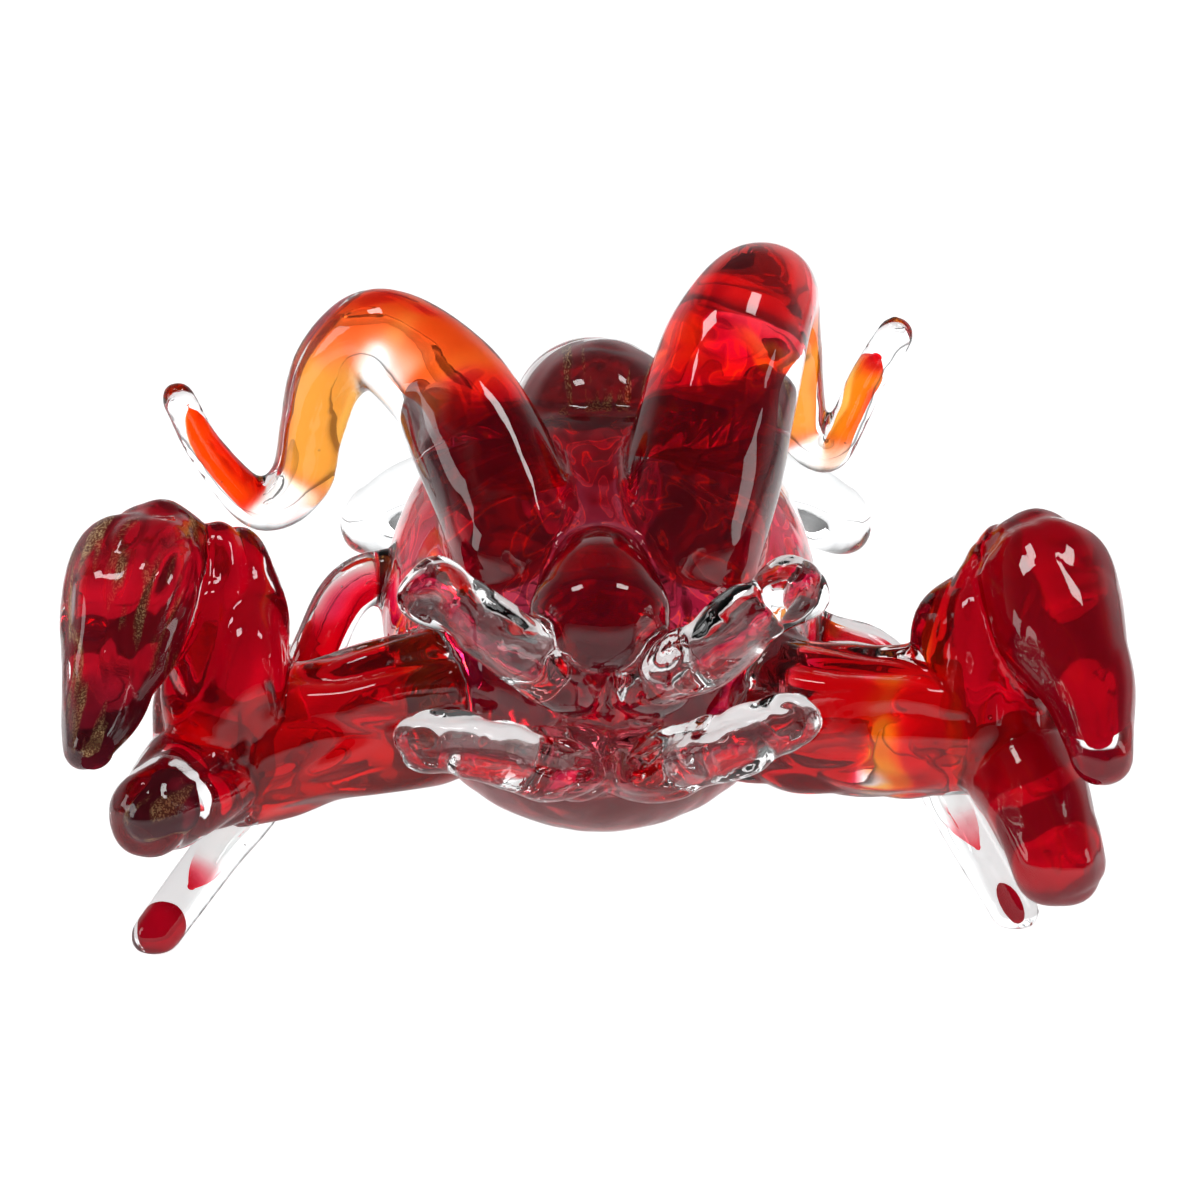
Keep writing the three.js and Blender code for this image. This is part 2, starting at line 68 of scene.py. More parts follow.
class Tint(Enum):
    """What one crossing of a coloured film lets through, and how milky it is."""

    SOOT = (0.42, 0.06, 0.11, 0.24)
    UMBER = (0.78, 0.27, 0.32, 0.3)
    MAROON = (0.76, 0.05, 0.12, 0.24)
    WINE = (0.78, 0.015, 0.11, 0.15)
    GARNET = (0.88, 0.015, 0.11, 0.13)
    RUBY = (0.96, 0.012, 0.09, 0.10)
    CRIMSON = (0.93, 0.012, 0.09, 0.32)
    CERISE = (0.93, 0.2, 0.25, 0.12)
    SCARLET = (1.0, 0.05, 0.025, 0.11)
    FLAME = (1.0, 0.24, 0.03, 0.16)
    ORANGE = (1.0, 0.50, 0.09, 0.22)
    PEACH = (1.0, 0.76, 0.48, 0.18)
    ROSE = (0.96, 0.76, 0.74, 0.06)
    CLEAR = (0.99, 0.99, 0.985, 0.0)


class Facing(Enum):
    """Sides of the figure that a patch of colour or a tool mark looks towards."""

    ANY = (0.0, 0.0, 0.0)
    FRONT = (0.0, -1.0, 0.0)
    BACK = (0.0, 1.0, 0.0)
    LEFT = (-1.0, 0.0, 0.0)
    RIGHT = (1.0, 0.0, 0.0)
    TOP = (0.0, 0.0, 1.0)
    BELOW = (0.0, 0.0, -1.0)


@dataclass(frozen=True)
class Patch:
    """A soft patch along a gather: of colour when tint is set, of relief when height is set."""

    share: float
    long: float
    facing: Facing = Facing.ANY
    spread: float = 0.6
    tint: Tint = Tint.CLEAR
    height: float = 0.0

    def weight(self, share: float, outward: Vector) -> float:
        """How strongly the patch covers a point of the surface.

        Args:
            share: place along the gather, 0 at its root and 1 at its end.
            outward: direction from the gather's middle line to the point.

        Returns:
            A weight from 0 to 1.
        """
        off = abs(share - self.share) / self.long
        if off > 1.6:
            return 0.0
        weight = 1.0 / (1.0 + off**8)
        if self.facing is not Facing.ANY:
            turn = 1.0 - outward.dot(Vector(self.facing.value))
            weight *= 1.0 / (1.0 + (turn / self.spread) ** 6)
        return weight


@dataclass(frozen=True)
class Grooves:
    """Rings pressed round a gather."""

    depth: float
    places: tuple[float, ...]
    spread: float

    def at(self, share: float) -> float:
        """Return how far the surface is drawn in at a share of the length."""
        return sum(self.depth * math.exp(-(((share - p) / self.spread) ** 2)) for p in self.places)


class Spline:
    """A smooth curve through points, from Catmull-Rom pieces."""

    def __init__(self, points: list[Vector], power: float = 0.25) -> None:
        """Keep the points.

        Args:
            points: places that the curve passes through.
            power: 0.25 spaces the pieces by the roots of their lengths, 0 evenly.
        """
        self.points = points
        self.power = power

    def at(self, share: float) -> Vector:
        """Return the point at a share of the pieces, from 0 to 1."""
        points, last = self.points, len(self.points) - 1
        place = min(max(share, 0.0), 1.0) * last
        k = min(int(place), last - 1)
        t = place - k
        b, c = points[k], points[k + 1]
        a = points[k - 1] if k > 0 else b * 2 - c
        d = points[k + 2] if k + 2 <= last else c * 2 - b
        s0, s1, s2 = (max((q - p).length_squared, 1e-12) ** self.power for p, q in ((a, b), (b, c), (c, d)))
        go = ((b - a) / s0 - (c - a) / (s0 + s1) + (c - b) / s1) * s1
        stop = ((c - b) / s1 - (d - b) / (s1 + s2) + (d - c) / s2) * s1
        square = (c - b) * 3 - go * 2 - stop
        cube = (b - c) * 2 + go + stop
        return b + go * t + square * t**2 + cube * t**3

    def ahead(self, share: float) -> Vector:
        """Return the unit direction of the curve at a share."""
        step = 1e-4
        return (self.at(share + step) - self.at(share - step)).normalized()


@dataclass
class Ring:
    """One oval section of a gather."""

    middle: Vector
    ahead: Vector
    wide: Vector
    deep: Vector
    width: float
    depth: float
    share: float
    arc: float

    def matrix(self) -> Matrix:
        """Return the matrix that places a unit circle as this section."""
        turn = Matrix((self.wide * self.width, self.deep * self.depth, self.ahead)).transposed()
        return Matrix.Translation(self.middle) @ turn.to_4x4()


def round_end(ring: Ring, way: int, steps: int, stretch: float = 1.0) -> list[Ring]:
    """Make the sections that round off an end.

    Args:
        ring: the last full section.
        way: -1 at the root and 1 at the end.
        steps: how many sections to make.
        stretch: length of the end as a share of the section's size.

    Returns:
        The sections, from the full one outwards.
    """
    long = stretch * (ring.width + ring.depth) / 2
    made = []
    for i in range(1, steps + 1):
        angle = 0.5 * math.pi * min(i / steps, 0.985)
        reach, shrink = way * long * math.sin(angle), math.cos(angle)
        made.append(
            Ring(
                ring.middle + ring.ahead * reach,
                ring.ahead,
                ring.wide,
                ring.deep,
                ring.width * shrink,
                ring.depth * shrink,
                ring.share,
                ring.arc + reach,
            )
        )
    return made


def loft(rings: list[Ring], sides: int) -> bmesh.types.BMesh:
    """Draw a closed skin over sections, each grown from the last by an extrusion.

    Args:
        rings: the sections, in order.
        sides: points round each section.

    Returns:
        A closed mesh whose points know their share, their flow and their outward direction.
    """
    bm = bmesh.new()
    share_layer = bm.verts.layers.float.new("share")
    flow_layer = bm.verts.layers.float_vector.new("flow")
    out_layer = bm.verts.layers.float_vector.new("outward")

    def note(verts: list[bmesh.types.BMVert], ring: Ring) -> None:
        """Write a section's facts on its points."""
        for v in verts:
            off = v.co - ring.middle
            v[share_layer] = ring.share
            v[flow_layer] = (ring.arc, off.dot(ring.wide), off.dot(ring.deep))
            v[out_layer] = off.normalized()

    place = rings[0].matrix()
    bmesh.ops.create_circle(bm, cap_ends=True, radius=1.0, segments=sides, matrix=place)
    note(bm.verts[:], rings[0])
    loop = bm.edges[:]
    for ring in rings[1:]:
        grown = bmesh.ops.extrude_edge_only(bm, edges=loop)["geom"]
        verts = [g for g in grown if isinstance(g, bmesh.types.BMVert)]
        fresh = set(verts)
        loop = [g for g in grown if isinstance(g, bmesh.types.BMEdge) and set(g.verts) <= fresh]
        goal = ring.matrix()
        bmesh.ops.transform(bm, matrix=goal @ place.inverted(), verts=verts)
        note(verts, ring)
        place = goal
    bmesh.ops.edgeloop_fill(bm, edges=loop)
    bmesh.ops.recalc_face_normals(bm, faces=bm.faces[:])
    return bm


@dataclass
class Gather:
    """One drawn length of glass: an oval section carried along a curve and rounded at both ends.

    The rows give each place across, along and up as shares of the reach, and the section's
    width and depth as shares of the radius. A gather with a core share holds a coloured core
    of that share of its thickness.
    """

    name: str
    root: Vector
    reach: Vector
    radius: float
    rows: Rows
    core_share: float = 0.0
    lean: tuple[float, float, float] = (0.0, 0.0, 0.0)
    flat: Vector | None = None
    grooves: Grooves | None = None
    marks: tuple[Patch, ...] = ()
    base: Tint = Tint.RUBY
    patches: tuple[Patch, ...] = ()
    slot: Slot = Slot.RED
    core_from: float = 0.0
    core_to: float = 0.95
    wave_share: float = 0.07
    tapers: tuple[float, float] = (0.02, 0.12)
    relief: float = 0.12 * MM
    node: str = ""

    def __post_init__(self) -> None:
        """Set up the curves of the places and of the sizes."""
        places = [Vector([share * reach for share, reach in zip(row, self.reach)]) + self.root for row in self.rows]
        sizes = [Vector((row[3] * self.radius, row[4] * self.radius, 0.0)) for row in self.rows]
        self.path = Spline(places)
        self.swell = Spline(sizes, 0.0)

    def end(self) -> Vector:
        """Return the last place of the path."""
        return self.path.points[-1].copy()

    def sections(self, fill: float, start: float, end: float) -> list[Ring]:
        """Make the sections between two shares of the length, each filled to a share of its size."""
        count = max(12, int(20 * (len(self.rows) - 1) * (end - start)))
        rings: list[Ring] = []
        wide = Vector()
        arc = 0.0
        for i in range(count + 1):
            share = start + (end - start) * i / count
            middle, ahead = self.path.at(share), self.path.ahead(share)
            if self.flat is not None:
                wide = self.flat.cross(ahead).normalized()
            elif not rings:
                guide = UP if abs(ahead.z) < 0.9 else Vector((0.0, 1.0, 0.0))
                wide = guide.cross(ahead).normalized()
            else:
                wide = (wide - ahead * wide.dot(ahead)).normalized()
            if rings:
                arc += (middle - rings[-1].middle).length
            size = self.swell.at(share)
            pinch = self.grooves.at(share) if self.grooves else 0.0
            rings.append(
                Ring(middle, ahead, wide.copy(), ahead.cross(wide).normalized(), (size.x - pinch) * fill,
                     (size.y - pinch) * fill, share, arc)
            )
        return rings

    def solid(self, fill: float = 1.0, start: float = 0.0, end: float = 1.0, sides: int = 44) -> bmesh.types.BMesh:
        """Return the closed body, filled to a share of its thickness, between two shares of its length."""
        rings = self.sections(fill, start, end)
        before = round_end(rings[0], -1, 9)[::-1]
        bm = loft(before + rings + round_end(rings[-1], 1, 9), sides)
        relieve(bm, self.marks)
        return bm

    def core(self) -> bmesh.types.BMesh:
        """Return the coloured core with its stain: it leans off the middle and thins out where it has a taper."""
        rings = self.sections(self.core_share, self.core_from, self.core_to)
        room = 1.0 / self.core_share - 1.0
        root_taper, end_taper = self.tapers
        for ring in rings:
            left = 1.0
            if root_taper:
                left = min(left, (ring.share - self.core_from) / root_taper)
            if end_taper:
                left = min(left, (self.core_to - ring.share) / end_taper)
            full = math.sqrt(max(1.0 - (1.0 - left) ** 2, 0.05))
            ring.middle = ring.middle + Vector(self.lean) * (room * ring.width)
            ring.width *= full
            ring.depth *= full
        stretch = 0.8 / self.core_share
        ends = round_end(rings[0], -1, 9, stretch)[::-1], round_end(rings[-1], 1, 9, stretch)
        bm = loft(ends[0] + rings + ends[1], 60)
        undulate(bm, self.wave_share * self.radius, 130.0)
        stain(bm, self.base, self.patches)
        return bm


def relieve(bm: bmesh.types.BMesh, marks: tuple[Patch, ...]) -> None:
    """Raise or sink the surface under tool marks.

    Args:
        bm: a lofted mesh.
        marks: patches with a height.
    """
    if not marks:
        return
    share_layer = bm.verts.layers.float["share"]
    out_layer = bm.verts.layers.float_vector["outward"]
    for v in bm.verts:
        outward = v[out_layer]
        rise = sum(mark.height * mark.weight(v[share_layer], outward) for mark in marks)
        v.co += outward * rise


def undulate(bm: bmesh.types.BMesh, amount: float, scale: float) -> None:
    """Give a lofted surface the slow waves of glass worked by hand.

    Args:
        bm: a lofted mesh.
        amount: the most that a point moves, in or out.
        scale: waves to the metre.
    """
    out_layer = bm.verts.layers.float_vector["outward"]
    flow_layer = bm.verts.layers.float_vector["flow"]
    for v in bm.verts:
        arc, across, deep = v[flow_layer]
        wave = noise.noise(Vector((arc * 0.5, across, deep)) * scale + v.co * 3.0)
        v.co += v[out_layer] * (wave * amount)


def stain(bm: bmesh.types.BMesh, base: Tint, patches: tuple[Patch, ...]) -> None:
    """Colour a core's points by its base tint and the patches laid over it.

    Args:
        bm: a lofted mesh.
        base: the tint under all patches.
        patches: coloured patches, later ones on top.
    """
    share_layer = bm.verts.layers.float["share"]
    out_layer = bm.verts.layers.float_vector["outward"]
    tone_layer = bm.verts.layers.float_color.new("stain")
    for v in bm.verts:
        tone = Vector(base.value)
        drift = noise.noise_vector(v.co * 60.0) + noise.noise_vector(v.co * 150.0) * 0.7
        share = v[share_layer] + 0.06 * drift.x
        outward = (v[out_layer] + 0.4 * drift).normalized()
        for patch in patches:
            tone = tone.lerp(Vector(patch.tint.value), patch.weight(share, outward))
        v[tone_layer] = tone


class Graph:
    """A short way to write a material's nodes."""

    def __init__(self, name: str) -> None:
        """Start an empty material with that name."""
        self.material = bpy.data.materials.new(name)
        self.material.use_nodes = True
        self.nodes = self.material.node_tree.nodes
        self.links = self.material.node_tree.links
        self.nodes.clear()
        self.out = self.nodes.new("ShaderNodeOutputMaterial")

    def add(self, kind: str, inputs: dict[str | int, object] | None = None, **settings: object) -> bpy.types.Node:
        """Add a node.

        Args:
            kind: the node's type, without its ShaderNode prefix.
            inputs: values, or sockets to link, by the input's name or number.
            settings: properties to set on the node.

        Returns:
            The new node.
        """
        node = self.nodes.new("ShaderNode" + kind)
        for key, value in settings.items():
            setattr(node, key, value)
        for key, value in (inputs or {}).items():
            if isinstance(value, bpy.types.NodeSocket):
                self.links.new(value, node.inputs[key])
            else:
                node.inputs[key].default_value = value
        return node

    def ramp(self, factor: bpy.types.NodeSocket, stops: tuple[tuple[float, tuple[float, ...]], ...]) -> bpy.types.Node:
        """Add a colour ramp with the given stops on a factor."""
        node = self.add("ValToRGB", {0: factor})
        elements = node.color_ramp.elements
        while len(elements) < len(stops):
            elements.new(0.5)
        for element, (place, colour) in zip(elements, stops):
            element.position = place
            element.color = (*colour[:3], 1.0)
        return node

    def finish(self, surface: bpy.types.NodeSocket) -> bpy.types.Material:
        """Link the surface shader and return the material."""
        self.links.new(surface, self.out.inputs["Surface"])
        return self.material


@dataclass(frozen=True)
class ClearGlass:
    """Fire polished clear glass with faint cords and a slow ripple."""

    ior: float = 1.5
    ripple: float = 0.09
    ripple_scale: float = 60.0
    cord_scale: float = 90.0

    def material(self, name: str) -> bpy.types.Material:
        """Return the material, with that name."""
        g = Graph(name)
        place = g.add("TexCoord").outputs["Object"]
        cords = g.add("TexNoise", {"Vector": place, "Scale": self.cord_scale, "Detail": 3.0, "Distortion": 1.5})
        colour = g.ramp(cords.outputs["Fac"], ((0.3, (0.93, 0.955, 0.96)), (0.6, (0.985, 0.99, 0.99))))
        wave = g.add("TexNoise", {"Vector": place, "Scale": self.ripple_scale, "Detail": 1.0})
        bump = g.add("Bump", {"Height": wave.outputs["Fac"], "Strength": self.ripple, "Distance": 0.002})
        shader = g.add(
            "BsdfPrincipled",
            {
                "Base Color": colour.outputs["Color"],
                "Roughness": 0.0,
                "IOR": self.ior,
                "Transmission Weight": 1.0,
                "Normal": bump.outputs["Normal"],
            },
        )
        return g.finish(shader.outputs["BSDF"])


@dataclass(frozen=True)
class FilmGlass:
    """A coloured film on a core, with marbled swirls drawn out along the gather and bright threads."""

    swirl: float = 0.8
    swirl_scale: float = 62.0
    stretch: float = 0.55
    turns: float = 26.0
    edge: float = 0.6
    thread: float = 0.5
    thicken: float = 0.12
    dark: tuple[float, float, float] = (0.5, 0.15, 0.4)
    bright: tuple[float, float, float] = (1.0, 0.1, 0.04)
    glitter: float = 0.0

    def material(self, name: str) -> bpy.types.Material:
        """Return the material, with that name."""
        g = Graph(name)
        tone = g.add("Attribute", attribute_name="stain")
        flow = g.add("Attribute", attribute_name="flow").outputs["Vector"]
        drawn = g.add("Mapping", {"Vector": flow, "Scale": (self.stretch, 1.0, 1.0)}).outputs["Vector"]
        warp = g.add("TexNoise", {"Vector": drawn, "Scale": self.swirl_scale, "Detail": 1.0})
        push = g.add("VectorMath", {0: warp.outputs["Color"], 1: (0.5, 0.5, 0.5)}, operation="SUBTRACT")
        far = g.add("VectorMath", {0: push.outputs[0], "Scale": 0.022}, operation="SCALE")
        bent = g.add("VectorMath", {0: drawn, 1: far.outputs[0]}, operation="ADD").outputs[0]
        hills = g.add("TexNoise", {"Vector": bent, "Scale": self.swirl_scale, "Detail": 1.5}).outputs["Fac"]
        phase = g.add("Math", {0: hills, 1: self.turns}, operation="MULTIPLY").outputs[0]
        curls = g.add("Math", {0: phase}, operation="SINE").outputs[0]
        redness = g.add("SeparateColor", {0: tone.outputs["Color"]}).outputs[1]
        room = g.add("MapRange", {"Value": redness, "From Min": 0.04, "From Max": 0.2, "To Min": 1.0, "To Max": 0.0})
        inside = g.add("MapRange", {"Value": curls, "From Min": -self.edge, "From Max": self.edge},
                       interpolation_type="SMOOTHSTEP")
        marbled = g.add("Math", {0: inside.outputs[0], 1: room.outputs[0]}, operation="MULTIPLY").outputs[0]
        mask = g.add("Math", {0: marbled, 1: self.swirl}, operation="MULTIPLY").outputs[0]
        shade = g.add(
            "Mix", {0: 1.0, 6: tone.outputs["Color"], 7: (*self.dark, 1.0)}, data_type="RGBA", blend_type="MULTIPLY"
        )
        body = g.add("Mix", {0: mask, 6: tone.outputs["Color"], 7: shade.outputs[2]}, data_type="RGBA")
        off = g.add("Math", {0: curls, 1: 0.45}, operation="ADD").outputs[0]
        away = g.add("Math", {0: off}, operation="ABSOLUTE").outputs[0]
        line = g.add("MapRange", {"Value": away, "From Min": 0.03, "From Max": 0.2, "To Min": self.thread, "To Max": 0.0})
        veined = g.add("Math", {0: line.outputs[0], 1: room.outputs[0]}, operation="MULTIPLY").outputs[0]
        lit = g.add("Mix", {0: veined, 6: body.outputs[2], 7: (*self.bright, 1.0)}, data_type="RGBA").outputs[2]
        film = g.add("BsdfTransparent", {"Color": lit})
        front = g.add("BsdfDiffuse", {"Color": lit})
        through = g.add("BsdfTranslucent", {"Color": lit})
        milk = g.add("MixShader", {0: 0.5, 1: front.outputs[0], 2: through.outputs[0]})
        dense = g.add("Math", {0: mask, 1: self.thicken, 2: tone.outputs["Alpha"]}, operation="MULTIPLY_ADD")
        shader = g.add("MixShader", {0: dense.outputs[0], 1: film.outputs[0], 2: milk.outputs[0]})
        if self.glitter:
            shader = self.sprinkle(g, flow, shader)
        return g.finish(shader.outputs[0])

    def sprinkle(self, g: Graph, flow: bpy.types.NodeSocket, under: bpy.types.Node) -> bpy.types.Node:
        """Lay brown streaks with copper flakes over a shader.

        Args:
            g: the material being written.
            flow: the place along and round the gather.
            under: the shader to cover.

        Returns:
            The mixed shader.
        """
        long = g.add("Mapping", {"Vector": flow, "Scale": (0.16, 1.0, 1.0)}).outputs["Vector"]
        streak = g.add("TexNoise", {"Vector": long, "Scale": 230.0, "Detail": 2.0}).outputs["Fac"]
        band = g.add("MapRange", {"Value": streak, "From Min": 0.53, "From Max": 0.62, "To Max": self.glitter})
        cells = g.add("TexVoronoi", {"Vector": flow, "Scale": 4200.0, "Randomness": 1.0}, feature="F1")
        tone = g.add("SeparateColor", {0: cells.outputs["Color"]}).outputs[0]
        flake = g.add("MapRange", {"Value": tone, "From Min": 0.6, "From Max": 0.75}).outputs[0]
        brown = g.add("BsdfDiffuse", {"Color": (0.2, 0.075, 0.04, 1.0)})
        copper = g.add("BsdfPrincipled", {"Base Color": (0.72, 0.45, 0.22, 1.0), "Metallic": 1.0, "Roughness": 0.4})
        laid = g.add("MixShader", {0: flake, 1: brown.outputs[0], 2: copper.outputs[0]})
        return g.add("MixShader", {0: band.outputs[0], 1: under.outputs[0], 2: laid.outputs[0]})


@dataclass(frozen=True)
class AirBubble:
    """Air held in glass."""

    ior: float = 0.667

    def material(self, name: str) -> bpy.types.Material:
        """Return the material, with that name."""
        g = Graph(name)
        haze = g.add("TexNoise", {"Vector": g.add("TexCoord").outputs["Object"], "Scale": 900.0})
        colour = g.ramp(haze.outputs["Fac"], ((0.3, (0.93, 0.93, 0.94)), (0.7, (1.0, 1.0, 1.0))))
        shader = g.add(
            "BsdfPrincipled",
            {"Base Color": colour.outputs["Color"], "Roughness": 0.0, "IOR": self.ior, "Transmission Weight": 1.0},
        )
        return g.finish(shader.outputs["BSDF"])


@dataclass
class Bench:
    """Where finished pieces are put: it names, dresses and rides them."""

    clear: ClearGlass = field(default_factory=ClearGlass)
    materials: dict[str, bpy.types.Material] = field(default_factory=dict)

    def finish(self, finish: ClearGlass | FilmGlass | AirBubble, name: str) -> bpy.types.Material:
        """Return the named material, made once."""
        if name not in self.materials:
            self.materials[name] = finish.material(name)
        return self.materials[name]

    def lay(self, bm: bmesh.types.BMesh, name: str, material: bpy.types.Material, slot: Slot, *nodes: str) -> bpy.types.Object:
        """Make an object of a mesh and put it on the figure.

        Args:
            bm: the finished mesh, which is freed.
            name: the piece's name.
            material: its finish.
            slot: not used.
            nodes: CAD nodes that it stands for.

        Returns:
            The new object.
        """
        for face in bm.faces:
            face.smooth = True
        mesh = bpy.data.meshes.new(name)
        bm.to_mesh(mesh)
        bm.free()
        piece = bpy.data.objects.new(name, mesh)
        bpy.context.scene.collection.objects.link(piece)
        return self.dress(piece, material, slot, *nodes)

    def dress(self, piece: bpy.types.Object, material: bpy.types.Material, slot: Slot, *nodes: str) -> bpy.types.Object:
        """Give an object its finish, its body and the nodes that it stands for."""
        piece.data.materials.clear()
        piece.data.materials.append(material)
        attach(piece, BODY)
        if nodes:
            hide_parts(*nodes)
        LOG.info("%s: %d faces", piece.name, len(piece.data.polygons))
        return piece


@dataclass
class Thorax:
    """The body: a sloping egg with a red core, and the frame that every limb is placed in."""

    half_width: float = 47 * MM
    half_length: float = 68 * MM
    half_height: float = 42 * MM
    ride_height: float = 67.6 * MM
    slope_degrees: float = 12.0
    core_wide_share: float = 0.62
    core_deep_share: float = 0.72
    core_shift: float = 1.0 * MM
    core_lift: float = 4.0 * MM
    saddle_radius: float = 6.5 * MM
    saddle_path: Rows = (
        (-0.26, -0.45, 0.84, 1, 1),
        (0, -0.44, 0.72, 0.9, 0.8),
        (0.26, -0.43, 0.84, 1, 1),
    )
    place: Vector = field(default_factory=lambda: Vector((0.557 * MM, -34.85 * MM, 0.0)))
    outline: tuple[tuple[float, float, float], ...] = (
        (-1, 0, 0),
        (-0.96, 0.29, 0.3),
        (-0.84, 0.56, 0.58),
        (-0.62, 0.81, 0.82),
        (-0.3, 0.97, 0.97),
        (0, 1, 1),
        (0.34, 0.94, 0.94),
        (0.64, 0.77, 0.76),
        (0.86, 0.5, 0.5),
        (0.97, 0.24, 0.24),
        (1, 0, 0),
    )

    def __post_init__(self) -> None:
        """Set up the egg's own axes."""
        slope = math.radians(self.slope_degrees)
        self.along = Vector((0.0, math.cos(slope), math.sin(slope)))
        self.across = Vector((1.0, 0.0, 0.0))
        self.up = self.across.cross(self.along)
        self.middle = self.place + UP * self.ride_height

    def point(self, across: float, along: float, up: float) -> Vector:
        """Return a point given by shares of the half sizes."""
        return (
            self.middle
            + self.across * (across * self.half_width)
            + self.along * (along * self.half_length)
            + self.up * (up * self.half_height)
        )

    def egg(self, wide: float = 1.0, deep: float = 1.0, shift: float = 0.0, lift: float = 0.0) -> bmesh.types.BMesh:
        """Return the closed egg filled to shares of its width and height, moved across and up its own axes."""
        curve = Spline([Vector(row) for row in self.outline])
        rings = []
        count = 90
        long = self.half_length * deep
        for i in range(1, count):
            row = curve.at(i / count)
            middle = self.middle + self.along * (row.x * long) + self.across * shift + self.up * lift
            width, depth = max(row.y, 0.004) * self.half_width * wide, max(row.z, 0.004) * self.half_height * deep
            rings.append(Ring(middle, self.along, -self.across, self.up, width, depth, i / count, row.x * long))
        return loft(rings, 72)

    def saddle(self) -> bmesh.types.BMesh:
        """Return the clear web that hangs between the roots of the antennae."""
        places = [self.point(*row[:3]) for row in self.saddle_path]
        rows = tuple((p.x, p.y, p.z, *row[3:]) for p, row in zip(places, self.saddle_path))
        return Gather("saddle", Vector(), Vector((1.0, 1.0, 1.0)), self.saddle_radius, rows).solid()

    def core(self) -> bmesh.types.BMesh:
        """Return the red core with its stain and a small painted glint."""
        bm = self.egg(self.core_wide_share, self.core_deep_share, -self.core_shift, self.core_lift)
        stain(
            bm,
            Tint.WINE,
            (
                Patch(0.6, 0.5, Facing.TOP, 0.6, Tint.SOOT),
                # painted glint: a small orange spot on the left side
                Patch(0.42, 0.015, Facing.LEFT, 0.04, Tint.FLAME),
                Patch(0.3, 0.5, Facing.BELOW, 0.16, Tint.ROSE),
                Patch(0.8, 0.12, Facing.BELOW, 0.9, Tint.RUBY),
            ),
        )
        return bm


@dataclass
class Abdomen:
    """The ringed abdomen that arches up behind the thorax and falls to the tail."""

    length: float = 88 * MM
    rise: float = 42 * MM
    lean: float = 1.8 * MM
    radius: float = 18.6 * MM
    core_share: float = 0.86
    ring_depth: float = 1.8 * MM
    ring_spread: float = 0.03
    ring_places: tuple[float, ...] = (0.444, 0.556, 0.667, 0.778, 0.889)
    root: tuple[float, float, float] = (0, 0.462, 0.084)
    shoulder_radius: float = 15.5 * MM
    shoulder_core_share: float = 0.93
    shoulder_path: Rows = (
        (0, -0.27, 0.44, 0.95, 0.95),
        (-0.05, -0.18, 0.56, 1.22, 1.22),
        (-0.5, 0.04, 0.49, 1.22, 1.22),
        (-0.8, 0.2, 0.41, 1.2, 1.2),
    )
    path: Rows = (
        (0, 0, 0, 0.92, 0.92),
        (-0.8, 0.18, 0.29, 1, 1),
        (-1, 0.34, 0.37, 1, 1),
        (-0.8, 0.52, 0.24, 0.97, 0.97),
        (-0.3, 0.7, -0.14, 0.89, 0.87),
        (0, 0.86, -0.62, 0.79, 0.76),
        (0, 1, -1, 0.68, 0.62),
    )

    def shoulder(self, thorax: Thorax) -> Gather:
        """Return the swell that carries the thorax into the abdomen's dome."""
        reach = Vector((self.lean, self.length, self.rise))
        return Gather("shoulder", thorax.point(*self.root), reach, self.shoulder_radius, self.shoulder_path,
                      core_share=self.shoulder_core_share, base=Tint.UMBER, slot=Slot.DARK)

    def gathers(self, thorax: Thorax) -> list[Gather]:
        """Return the abdomen as one cased gather."""
        return [
            Gather(
                "abdomen",
                thorax.point(*self.root),
                Vector((self.lean, self.length, self.rise)),
                self.radius,
                self.path,
                core_share=self.core_share,
                grooves=Grooves(self.ring_depth, self.ring_places, self.ring_spread),
                base=Tint.WINE,
                patches=(Patch(0.3, 0.25, tint=Tint.UMBER), Patch(0.9, 0.12, tint=Tint.RUBY)),
                slot=Slot.DARK,
                core_from=0.12,
                core_to=0.96,
                lean=(0.0, 0.0, 0.6),
            )
        ]


